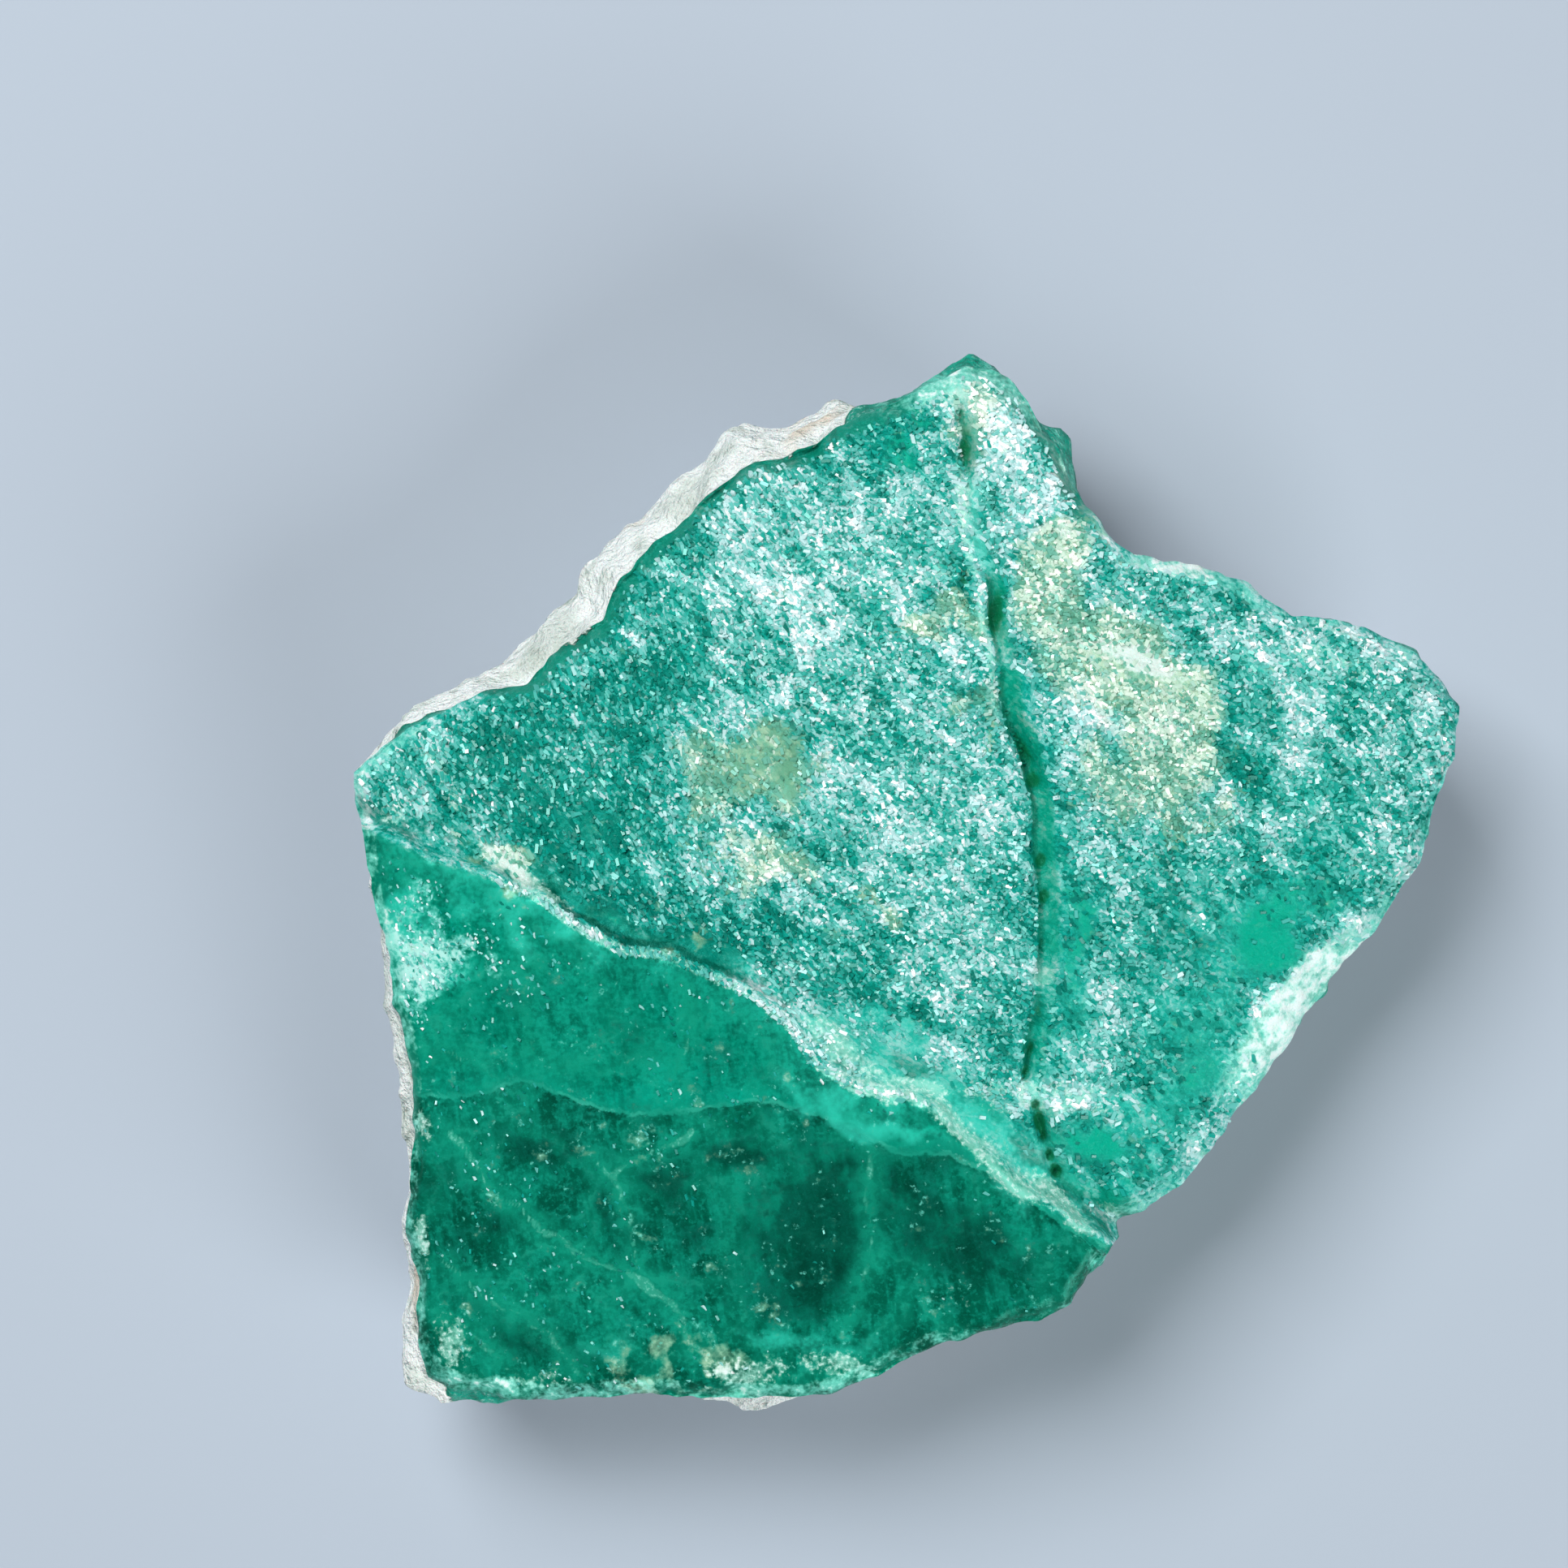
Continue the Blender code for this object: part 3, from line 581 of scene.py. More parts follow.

# %% [markdown]
# ## Where each finish lies
#
# The colour of the break changes from place to place: frosty where the grains are coarse, the
# frost's white partly the crushed grains' own and partly painted glints, cream where weathering got
# in, dark where the mineral is clear and deep, and waxy, with hardly a grain, where it parted along
# a flaw. Each such place is a patch again, and together they give the one number that matters most:
# how pale the sugar is. The stone and its grains both read it, so that a grain blends with the
# ground it sits in.

# %% Frost-and-glint and cream places
FROST_AND_GLINTS = [
    (-5.5, 14.5, 7.5, 4.5, -35, 0.95), (-3.0, 5.0, 6.0, 5.0, 0, 0.75), (1.5, 0.0, 5.0, 5.0, 0, 0.75),
    (9.5, 10.0, 3.0, 9.0, 0, 0.95), (7.0, 21.5, 3.0, 5.0, 25, 0.95), (-0.5, 19.0, 4.0, 4.0, 0, 0.75),
    (21.0, 9.5, 7.0, 4.0, -25, 0.60), (12.0, -6.0, 3.6, 1.4, 10, 0.6), (12.0, 0.0, 3.0, 4.0, 0, 0.35),
    (-17.0, 8.0, 5.0, 3.0, 0, 0.15), (-3.0, 11.0, 5.0, 3.0, -20, 0.5), (20.0, 2.0, 5.0, 4.0, 30, 0.4),
    (3.0, 26.0, 3.5, 2.8, 0, 1.0), (9.5, -11.0, 4.5, 1.2, -12, 0.9), (2.0, -6.5, 5.0, 2.5, 0, 0.4),
    (-4.2, -7.6, 3.2, 1.6, -40, 0.5), (-26.6, -3.2, 2.2, 2.6, 0, 0.95), (-24.0, -3.0, 4.0, 1.3, -32, 0.7),
    (-27.0, -7.0, 1.3, 3.6, 5, 0.6), (-26.5, 5.5, 3.0, 2.6, 0, 0.65), (-1.5, -10.6, 3.5, 0.6, -18, 0.6),
    (-7.0, 17.0, 6.0, 3.5, -35, 0.6), (3.8, 24.0, 3.0, 3.0, 0, 0.4), (20.5, -6.5, 5.0, 1.4, 55, 0.8),
    (8.0, 15.8, 3.5, 1.2, 10, 0.95), (13.6, 9.0, 5.0, 2.6, -70, 1.0), (12.8, 6.0, 3.0, 1.6, -70, 0.8),
    (-9.0, 1.5, 3.0, 2.0, 0, 0.7), (18.0, 14.0, 4.0, 1.6, -15, 0.6), (-9.0, 10.0, 4.0, 2.4, 35, 0.6),
    (-13.5, 4.5, 2.2, 3.4, 0, 0.35), (24.5, 0.5, 2.6, 1.6, 52, 0.5), (-2.5, 21.5, 4.5, 2.2, 28, 0.75),
    (27.8, 10.0, 2.4, 1.2, -30, 0.7),
]
CREAM = [
    (-7.4, 7.4, 2.8, 1.6, -12, 1.0), (-7.0, 6.0, 2.2, 1.5, -20, 0.95), (-11.2, 6.4, 1.7, 1.2, 0, 0.8),
    (-10.3, 3.9, 2.4, 1.3, 60, 0.75), (-7.8, 1.2, 2.2, 1.4, 20, 0.9), (-0.9, -1.9, 0.8, 0.9, 0, 1.0),
    (-2.8, -1.2, 1.2, 0.6, 0, 0.6), (7.2, 16.4, 2.6, 2.2, 70, 0.95), (10.2, 14.6, 2.2, 1.7, -20, 0.9),
    (14.2, 9.4, 5.2, 1.9, -72, 1.0), (11.2, 11.5, 2.6, 2.0, -30, 0.8), (12.6, 4.4, 2.0, 2.6, 0, 0.85),
    (1.8, 14.4, 1.5, 1.1, 0, 0.95), (2.6, 25.6, 2.0, 1.4, 0, 0.85), (9.6, 6.5, 1.8, 3.0, 0, 0.7),
    (8.4, 12.8, 2.2, 1.4, -35, 0.8), (-22.0, 1.4, 2.3, 1.2, -36, 0.95), (-12.4, -3.3, 1.4, 0.4, -20, 0.8),
    (-14.0, -26.6, 5.0, 0.8, 2, 0.7), (4.0, 10.0, 0.9, 3.0, 15, 0.5),
]
print("cream at the olive hollow", patches(np.array([-7.4]), np.array([7.4]), CREAM).round(2))

# %% Dark, vivid, pale, aqua and waxy places, the ledge's lip and the pale rim
DARK = [
    (-4.4, -18.9, 3.4, 2.6, 60, 0.9), (1.8, -18.2, 5.0, 2.4, -32, 0.75), (-5.2, -16.4, 3.0, 1.4, 10, 0.6),
    (-12.9, -16.2, 2.4, 1.6, 0, 0.7), (-9.0, -13.8, 3.6, 1.0, -5, 0.8), (-20.0, -13.6, 3.2, 1.3, -20, 0.7),
    (-7.5, -18.4, 2.2, 1.6, 40, 0.5), (-22.5, -18.5, 2.0, 1.7, 0, 0.6), (-19.8, -24.6, 2.8, 1.2, -25, 0.75),
    (-12.0, -19.5, 2.2, 1.3, 0, 0.5), (-13.0, -8.0, 3.5, 1.2, -8, 0.4), (-18.0, 3.4, 6.0, 2.8, -20, 0.8),
    (-22.0, -6.0, 2.0, 1.6, 20, 0.4), (-16.0, -11.0, 2.4, 0.8, -10, 0.4), (-3.5, -5.4, 3.2, 1.0, -35, 0.6),
    (14.0, -2.5, 2.4, 3.0, 0, 0.7), (17.0, 9.0, 1.0, 3.0, 0, 0.5), (-16.5, -1.4, 3.0, 0.8, -28, 0.8),
    (-11.0, -3.0, 2.6, 0.8, -15, 0.7), (-25.2, -16.0, 1.2, 2.0, 0, 0.4), (-9.8, -10.4, 1.8, 1.0, 0, 0.4),
    (-13.0, 11.5, 3.4, 1.6, 40, 0.5), (-22.0, 7.0, 3.4, 2.0, 20, 0.6), (-17.0, 5.5, 4.0, 3.4, 20, 0.5),
    (-6.6, 7.3, 2.2, 1.4, -20, 0.9), (-9.6, 6.0, 1.6, 1.6, 0, 0.6), (10.7, -15.9, 1.9, 0.8, -35, 0.95),
    (-17.6, -17.4, 1.6, 0.8, 50, 0.6), (-16.0, -18.8, 1.0, 1.4, 10, 0.6), (-24.0, -21.6, 1.2, 1.0, 0, 0.6),
    (-14.2, -15.6, 1.4, 0.8, -40, 0.6), (-5.4, -21.4, 3.0, 1.2, 20, 0.6), (5.2, -19.6, 2.4, 1.4, -30, 0.5),
]
VIVID = [
    (10.8, -14.6, 3.0, 1.3, -18, 0.95), (-16.0, -1.6, 4.5, 0.8, -28, 0.5), (18.9, -3.6, 2.3, 1.9, 40, 0.95),
    (-0.2, 23.4, 1.2, 1.9, 0, 0.8), (0.6, -13.2, 3.4, 0.8, -18, 0.6), (4.5, -12.2, 2.0, 1.0, -35, 0.6),
    (6.6, 12.2, 0.8, 1.2, 0, 0.5), (9.5, 19.0, 1.4, 1.2, -45, 0.5), (21.0, -1.5, 3.5, 1.6, 48, 0.6),
    (15.0, -9.5, 3.5, 1.6, 48, 0.6), (8.3, -2.5, 0.8, 5.5, 0, 0.7), (17.8, 6.5, 1.2, 3.0, -10, 0.4),
]
PALE = [
    (4.6, -11.4, 1.8, 0.7, -40, 0.8), (8.6, -10.9, 2.2, 0.6, -5, 0.8), (7.4, -16.6, 1.6, 0.4, -42, 0.8),
    (2.6, -13.3, 1.2, 0.4, -50, 0.7), (-3.6, -8.8, 2.0, 0.8, -45, 0.4), (1.6, -12.2, 1.4, 0.6, -50, 0.9),
    (3.4, -14.0, 1.8, 0.6, -42, 0.9), (5.8, -15.9, 1.8, 0.6, -40, 0.9), (8.4, -17.8, 2.0, 0.5, -36, 0.95),
    (8.0, 18.7, 1.6, 0.5, -10, 0.9), (7.6, 13.4, 2.4, 0.5, -8, 0.8), (12.0, 12.2, 3.0, 0.8, -24, 1.0),
    (13.4, 8.2, 0.8, 1.6, 0, 0.8), (4.6, 24.4, 2.2, 1.2, -50, 0.7), (1.6, 26.2, 1.6, 0.7, 30, 0.7),
    (-4.0, 8.0, 1.6, 0.2, 50, 0.7), (12.2, 4.6, 1.2, 1.4, 0, 0.7), (-9.6, 2.6, 1.6, 0.6, 50, 0.6),
    (-7.4, 0.6, 1.4, 0.5, 10, 0.7), (-22.0, 1.6, 1.9, 0.8, -38, 0.95), (-20.6, 0.2, 1.2, 0.5, -40, 0.9),
    (-25.2, 6.6, 2.0, 0.5, -62, 0.8), (-28.0, 3.9, 1.2, 0.7, -20, 0.9), (-24.0, 4.6, 1.6, 0.4, -55, 0.6),
    (2.8, 27.0, 1.8, 0.9, 0, 0.95), (11.0, -17.4, 1.1, 0.5, -20, 0.9), (1.0, 16.6, 1.2, 0.4, 10, 0.9),
    (6.6, -11.0, 0.9, 0.6, 0, 1.0), (7.2, -4.9, 0.4, 0.4, 0, 1.0), (8.5, 22.0, 0.9, 0.3, -60, 0.9),
    (13.5, 17.2, 1.6, 0.4, -10, 1.0), (23.5, 13.6, 1.8, 0.4, -20, 0.9), (4.0, -22.6, 2.4, 0.6, -20, 0.35),
    (-9.0, -26.6, 3.0, 0.6, 3, 0.7), (-24.9, -25.0, 1.0, 1.6, 10, 0.8), (-26.0, -19.0, 0.5, 1.8, 5, 0.8),
    (-26.2, -13.0, 0.5, 1.4, 5, 0.7), (-28.0, 11.2, 0.8, 0.8, 0, 0.6), (8.0, -11.7, 3.5, 0.5, -14, 0.7),
    (3.0, 20.4, 0.6, 2.6, 5, 0.9), (-3.0, -26.2, 3.0, 0.7, -15, 0.6), (-20.6, -27.0, 3.0, 0.5, 0, 0.6),
    (-19.6, -0.5, 1.4, 0.3, -28, 0.8), (-1.9, -10.9, 2.6, 0.35, -14, 1.0), (-4.9, -8.9, 1.4, 0.4, -55, 0.6),
    (6.9, -5.2, 0.5, 0.5, 0, 0.9), (4.6, 13.6, 0.6, 1.4, 15, 0.8), (8.0, 15.8, 2.6, 0.5, 12, 0.7),
    (14.6, 8.0, 0.5, 2.6, 15, 0.6), (2.0, 14.0, 0.8, 0.7, 0, 0.7), (3.6, 25.2, 2.4, 1.6, 0, 0.5),
    (22.0, 12.4, 4.4, 1.0, -20, 0.6), (-3.9, -8.7, 2.8, 0.7, -45, 0.8), (0.2, -10.6, 2.6, 0.3, -12, 0.9),
]
AQUA = [
    (3.0, -12.2, 3.4, 1.2, -35, 0.9), (6.6, -15.6, 3.0, 1.0, -45, 1.0), (9.5, -10.9, 3.2, 1.0, -8, 0.9),
    (5.0, -10.5, 1.6, 1.0, -40, 0.8), (-23.5, 0.2, 2.4, 0.7, -25, 0.6), (-19.5, -2.4, 3.2, 0.8, -32, 0.7),
    (-24.5, -2.6, 2.6, 0.9, -25, 0.5), (26.0, 1.0, 1.4, 2.5, -30, 0.7), (-4.6, -11.7, 3.6, 0.8, -24, 0.85),
    (0.6, -9.2, 4.0, 1.0, -32, 0.7), (22.0, 11.0, 5.5, 1.8, -20, 0.8), (-3.9, -8.0, 2.0, 1.1, -45, 0.75),
    (-11.5, 15.8, 3.0, 1.4, 35, 0.7), (-6.5, -25.0, 5.0, 1.0, -8, 0.6), (-17.0, -25.0, 2.2, 0.8, -30, 0.4),
    (-1.0, 17.0, 4.0, 3.0, 0, 0.6), (1.0, 2.0, 4.0, 2.0, 20, 0.5), (-26.4, -3.6, 1.8, 3.0, 0, 0.8),
    (21.0, 5.0, 5.0, 2.0, 20, 0.6), (-1.5, -12.9, 4.2, 0.9, -14, 0.8), (-3.4, -8.8, 4.0, 1.4, -38, 0.8),
]
# At each point of the ledge: how bright its lip is (partly crushed white, partly painted highlight),
# how far the sugar runs up to it, how dark the painted shade in the slit above it is
LIP_BRIGHT = (0, 0.1, 0.3, 0.5, 0.9, 1, 0.9, 0.8, 0.8, 0.9, 1, 0.9, 1, 0.6, 0.2, 0.1, 0.1, 0.2, 0.3)
SUGARED_ABOVE = (0, 0, 0, 0.3, 0.2, 0, 0, 0, 0, 0.3, 0.8, 0.8, 0.3, 0.2, 0.1, 0.2, 0.2, 0.3, 0.3)
SLIT_SHADE = (0, 0, 0, 0.1, 0.7, 0.9, 0.9, 0.7, 0.6, 0.4, 0.1, 0.1, 0, 0, 0, 0, 0, 0, 0)
# The pale rim by bearing, painted light through the thin edge: how wide it is in mm, and how strong
RIM_PALE = np.array([
    (-180, 0.5, 0.6), (-165, 0.8, 0.7), (-150, 0.5, 0.5), (-135, 0.5, 0.5), (-128, 1.2, 0.7),
    (-108, 1.0, 0.55), (-93, 0.9, 0.6), (-80, 1.0, 0.5), (-66, 0.8, 0.4), (-54, 0.6, 0.4), (-50, 1.0, 0.8),
    (-44, 1.2, 0.45), (-34, 1.6, 0.45), (-26, 2.4, 1.0), (-20, 2.6, 1.3), (-10, 2.2, 1.2), (-4, 1.2, 0.6),
    (7, 1.0, 0.35), (15, 0.8, 0.3), (30, 0.8, 0.5), (40, 0.8, 0.9), (43, 0.8, 1.4), (47, 0.7, 0.9),
    (50, 0.5, 0.4), (60, 0.3, 0.2), (72, 0.8, 0.7), (80, 1.0, 0.8), (88, 0.5, 0.4), (93, 0.1, 0.0),
    (153, 0.1, 0.0), (160, 0.5, 0.4), (168, 0.8, 0.7), (180, 0.5, 0.6),
])
WAXY = [
    (15.5, -7.0, 5.5, 3.4, 48, 0.7), (17.5, -1.0, 3.4, 2.6, 30, 0.5), (22.5, 3.0, 4.0, 2.0, 55, 0.4),
    (13.5, -12.5, 3.0, 1.6, 40, 0.6), (19.0, 8.0, 5.0, 3.0, -20, 0.25), (11.3, 12.1, 1.8, 1.0, -30, 0.9),
    (13.4, 11.0, 1.4, 0.8, -40, 0.8), (8.0, -17.6, 2.6, 1.3, -38, 1.0), (4.2, -13.4, 3.4, 1.4, -42, 1.0),
    (-3.4, -9.4, 1.6, 0.8, -40, 0.6), (8.0, 18.7, 1.4, 0.5, -10, 0.7), (2.5, -11.6, 3.6, 1.6, -35, 1.0),
    (6.5, -15.0, 3.4, 1.6, -45, 1.0), (0.0, -9.0, 3.0, 0.9, -32, 0.8), (8.4, -4.0, 0.9, 6.5, 0, 0.9),
    (-15.5, -1.8, 5.5, 1.0, -28, 0.9), (-9.0, -4.2, 3.0, 0.8, -22, 0.8), (-0.4, 23.4, 1.3, 1.6, 0, 0.7),
    (18.9, -3.6, 2.6, 2.0, 48, 1.0), (-7.4, 7.0, 2.8, 1.6, -20, 0.85), (10.8, -14.6, 3.6, 1.6, -18, 1.0),
    (10.0, -11.0, 2.6, 0.9, -10, 0.5), (15.2, -9.5, 3.6, 1.5, 48, 0.8), (21.5, -1.2, 3.0, 1.3, 48, 0.7),
    (-23.5, 3.0, 5.0, 1.0, -25, 0.6), (20.0, 12.0, 4.0, 1.0, -20, 0.4), (-18.0, 2.4, 3.5, 1.6, -15, 0.5),
    (-3.6, -8.9, 4.2, 1.2, -38, 0.9), (0.8, -10.4, 3.0, 1.0, -20, 0.8),
]
TABLES = {"frost_and_glints": FROST_AND_GLINTS, "cream": CREAM, "dark": DARK, "vivid": VIVID, "pale": PALE, "aqua": AQUA,
          "waxy": WAXY}


def stained(x, y, table):
    """Patches at places moved by about 0.5 mm, so that none keeps an ellipse's edge; pale slim ones less."""
    return patches(*moved(x, y, (1.3, 2.4), (0.7, 1.0), 61, 0.3 if table is PALE else 1.0), table)


def finish_at(name, x, y):
    """How strongly a finish lies at a place. Frost and its painted glints also gather in clumps: a noise
    times its patches.
    """
    strength = stained(x, y, TABLES[name])
    if name == "frost_and_glints":
        clumps = 0.95 + rumple(on_ground(x, y), (0.35, 2.4, 52), (0.3, 1.0, 53))
        strength *= np.clip(clumps, 0.2, 1.2) * (1.0 - 0.85 * stained(x, y, VIVID))
    return strength


def drawn_out(x, y):
    """Places squeezed to 0.4 along the grains' lie, 45 degrees down to the right, which draws a noise out."""
    eighth_turn = np.sqrt(0.5)  # the cosine and the sine of 45 degrees
    return np.stack([0.4 * (x - y) * eighth_turn, (x + y) * eighth_turn, np.zeros_like(x)], axis=-1)


def ledge_lip(x, y):
    """How pale the ledge's crest is, partly crushed white and partly painted highlight: a bell curve along
    it, and a weaker band where sugar runs up to it.
    """
    above, along = beside(x, y, LEDGE)
    crest = np.interp(along, range(len(LEDGE)), LIP_BRIGHT) * np.exp(-(((above + 0.08) / 0.34) ** 2))
    wide = np.interp(along, range(len(LEDGE)), SUGARED_ABOVE)
    band = smooth(0.4, wide) * smooth(0.3, above + 0.2) * smooth(1.0, 1.0 + wide - above)
    return np.maximum(crest, 0.18 * band)


def crack_lip(x, y):
    """How pale the crack's left lip is, partly crushed white and partly painted highlight: a bell curve 0.5
    mm to its left.
    """
    right, along = beside(x, y, CRACK)
    return np.interp(along, range(len(CRACK)), CRACK[:, 4]) * np.exp(-(((right + 0.50) / 0.36) ** 2))


def lips(x, y):
    """The pale lips of the ledge and the crack together."""
    return np.maximum(ledge_lip(x, y), crack_lip(x, y))


def rim_pale(x, y):
    """How strongly painted light comes through the thin edge: fully to 3/4 of the pale rim's width, 0 from
    5/4.
    """
    bearing = bearing_of(x, y)
    wide = np.interp(bearing, RIM_PALE[:, 0], RIM_PALE[:, 1])
    return np.interp(bearing, RIM_PALE[:, 0], RIM_PALE[:, 2]) * smooth(0.5, 1.25 - inside_rim(x, y) / wide)


BARE_TONE = 0.32
TONE_OF = (
    ("frost_and_glints", 0.30), ("pale", 0.20), ("aqua", 0.10), ("cream", 0.05), ("dark", -0.24), ("vivid", -0.30),
)


def tone_at(x, y):
    """How pale the ground is, 0 deep teal to 1 white: frost with painted glints, lips partly painted
    highlight, painted light through the thin rim, and clumps, less dark.
    """
    tone = BARE_TONE + 0.38 * lips(x, y) + 0.35 * rim_pale(x, y) - 0.6 * patches(x, y, PITS)
    for name, more in TONE_OF:
        tone += more * finish_at(name, x, y)
    clumps = rumple(on_ground(x, y), (0.10, 2.2, 54))
    return tone + clumps + rumple(drawn_out(x, y), (0.17, 0.8, 55), (0.20, 0.4, 56))


print(sum(len(table) for table in TABLES.values()), "patches")

# %% [markdown]
# ## Healed cracks
#
# The waxy lower ground is crossed by thin pale veils. They are old cracks that healed with
# cloudier mineral, so they lie in the stone and have no height. A veil could be drawn as a
# texture, but these have places of their own, so they are chains too, and the mesh carries the
# distance to the nearest one, which stays smooth between its points.

# %% The veils
VEILS = [np.array(chain) for chain in (
    [(-24.7, -13.5), (-23.6, -14.9), (-22.7, -16.3), (-21.9, -17.0), (-21.1, -17.4), (-20.5, -18.2),
     (-19.8, -18.8), (-18.6, -19.6), (-17.8, -20.3), (-16.7, -20.6), (-15.4, -21.0), (-14.2, -21.7),
     (-13.3, -22.2), (-12.7, -22.7), (-12.3, -23.3), (-11.8, -24.4), (-11.1, -25.6)],
    [(-25.3, -20.4), (-24.3, -21.3), (-23.0, -22.3), (-22.0, -23.0), (-20.8, -23.6), (-19.6, -24.3),
     (-18.9, -25.3), (-18.2, -26.4)],
    [(-25.4, -23.5), (-24.1, -24.3), (-22.8, -25.1), (-21.9, -26.0), (-21.1, -26.7)],
    [(-16.9, -14.9), (-16.4, -15.7), (-15.5, -16.5), (-15.1, -17.7), (-15.0, -19.3), (-14.6, -20.6)],
    [(-11.8, -13.3), (-13.3, -14.2), (-14.7, -14.7), (-16.1, -15.7)],
    [(-2.1, -14.0), (-2.1, -15.4), (-2.2, -17.1), (-2.1, -18.5), (-2.2, -20.1), (-2.5, -21.4),
     (-2.9, -22.7), (-3.5, -24.2)],
    [(-9.4, -16.0), (-9.7, -17.7), (-10.1, -20.0)],
    [(-21.0, -2.6), (-20.2, -4.6), (-20.8, -6.6), (-20.0, -8.6), (-20.4, -10.4)],
    [(-12.2, -5.4), (-11.6, -7.4), (-12.4, -9.2), (-12.0, -11.8)],
    [(-27.0, -8.6), (-24.0, -9.4), (-21.0, -9.0), (-17.0, -10.0), (-13.5, -9.0)],
)]
VEIL_STRENGTHS = (1.0, 0.8, 0.7, 0.9, 0.9, 0.7, 0.35, 0.5, 0.45, 0.4)


def veil_field(x, y):
    """The nearest veil's distance, with weaker veils pushed away by what their strength lacks."""
    x, y = moved(x, y, (0.22, 1.3), (0.12, 0.6), 41)
    off = [np.abs(beside(x, y, veil)[0]) + 0.35 * (1.0 - s) for veil, s in zip(VEILS, VEIL_STRENGTHS)]
    return np.min(off, axis=0)


print(len(VEILS), "veils")

# %% [markdown]
# ## What the mesh carries
#
# Each of those places becomes a named number at every point of the mesh, which the material
# reads. Distances are kept as distances and turned into lines in the material, where a fine
# noise can still fray them. A wall has no place on the face, so it takes its numbers from its
# bearing and from how far down it is.

# %% The stone's named numbers
CRUST_START = np.array([  # bearing, and how far below the rim the crust begins, in mm
    (-180, 2.0), (-168, 1.1), (-150, 1.5), (-140, 2.0), (-132, 3.0), (-118, 8.0), (-100, 3.0),
    (-75, 10.0), (-40, 12.0), (0, 11.0), (20, 8.0), (45, 9.0), (60, 5.0), (75, 8.0), (88, 5.0),
    (92, 0.15), (153, 0.15), (158, 1.8), (168, 2.0), (180, 3.0),
])


def crust_field(x, y, depth):
    """How far below the crust's upper edge a place is: its depth less the start, and a wide noise."""
    bearing = bearing_of(x, y)
    start = np.interp(bearing, CRUST_START[:, 0], CRUST_START[:, 1])
    ragged = np.minimum(start * 0.45, 2.0)
    return depth - start + ragged * lattice_noise(np.stack([x, y, depth], axis=-1), 3.0, 45)


def carry(owner, name, values):
    """A named number at every point of a mesh."""
    owner.data.attributes.new(name, "FLOAT", "POINT").data.foreach_set("value", values.astype(np.float32))


x, y, z = stone_points.T
on_face = np.arange(len(x)) < wall_start
depth = np.where(on_face, 0.0, THICKNESS - z)
depth[:wall_start] = -face_inside
FADE_DEPTH, FAR_AWAY, WALL_TONE = 2.5, 9.0, 0.45  # the face's marks die out within mm of the rim
fade = np.where(on_face, 1.0, np.exp(-np.maximum(depth, 0.0) / FADE_DEPTH))
right, crack_link = beside(x, y, CRACK)
above, ledge_link = beside(x, y, LEDGE)
NUMBERS = {
    "crack_mm": np.where(on_face, right, FAR_AWAY),
    "crack_depth": np.interp(crack_link, range(len(CRACK)), CRACK[:, 2]) * fade,
    "above_mm": above,
    "lip": lips(x, y) * fade,
    "pit": patches(x, y, PITS) * fade,
    "rim_pale": rim_pale(x, y) * fade,
    "tone": tone_at(x, y) * fade + WALL_TONE * (1.0 - fade),
    "slit_shade": np.interp(ledge_link, range(len(LEDGE)), SLIT_SHADE) * fade,
    "step_mm": beside(x, y, STEP)[0],
    "depth_mm": depth,
    "crust_mm": crust_field(x, y, depth),
    "veil_mm": np.where(on_face, veil_field(x, y), FAR_AWAY),
    "bare_rim": up_to_crust_end(x, y, GREEN_RIM_FROM, 5.0),
    **{name: finish_at(name, x, y) * fade for name in TABLES},
}
for name, values in NUMBERS.items():
    carry(stone, name, values)
print(*NUMBERS)

# %% [markdown]
# ## Colours and nodes
#
# A colour picked on a screen is an sRGB hex value, while Blender's sockets take linear light, so
# one function converts. Another adds a node: its kind, what goes into its sockets, and its
# settings. A socket's entry is either a plain value or another node's output to link.

# %% Hex colours and one node function
def linear(hex_colour):
    """sRGB to linear light: c/12.92 under 0.04045, and ((c + 0.055)/1.055)^2.4 above."""
    c = np.array([int(hex_colour[i:i + 2], 16) / 255 for i in (1, 3, 5)])
    return (*np.where(c <= 0.04045, c / 12.92, ((c + 0.055) / 1.055) ** 2.4), 1.0)


def add_node(tree, kind, sockets=None, **settings):
    """One node: `sockets` maps an input's name or number to a value or to an output to link."""
    made = tree.nodes.new(kind)
    for name, value in settings.items():
        setattr(made, name, value)
    for socket, value in (sockets or {}).items():
        if isinstance(value, bpy.types.NodeSocket):
            tree.links.new(value, made.inputs[socket])
        else:
            made.inputs[socket].default_value = value
    return made


def new_material(name):
    """An empty material, its tree and its Principled shader."""
    material = bpy.data.materials.new(name)
    material.use_nodes = True
    return material, material.node_tree, material.node_tree.nodes["Principled BSDF"]


print("mid green in linear light", [round(c, 3) for c in linear("#0A9678")])

# %% [markdown]
# ## The stone's finish
#
# Fresh smithsonite is waxy and a little see-through, with a high index of refraction, about 1.7.
# Light goes a millimetre or two into it and comes out greener, which subsurface scattering
# gives. Its colour is laid in coats, much as the real one is: a mottled body, clearer dark places,
# cloudy veils, lips that are partly crushed white and partly painted highlight, frost with painted
# glints mixed in where the grains are coarse, and at last the crust, which is dry and rough. Painted
# shade darkens the slit over the ledge, its trough and the crack's floor, a painted highlight runs
# along the step, and painted light shows through the thin rim. Everything that steers a coat is a
# field, kept by name, so that a coat is one line in a table.

# %% Smithsonite, broken and waxy: its fields
waxy, tree, shader = new_material("smithsonite_broken_waxy")
place = add_node(tree, "ShaderNodeTexCoord").outputs["Object"]
field = {
    name: add_node(tree, "ShaderNodeAttribute", attribute_name=name).outputs["Fac"]
    for name in NUMBERS
}
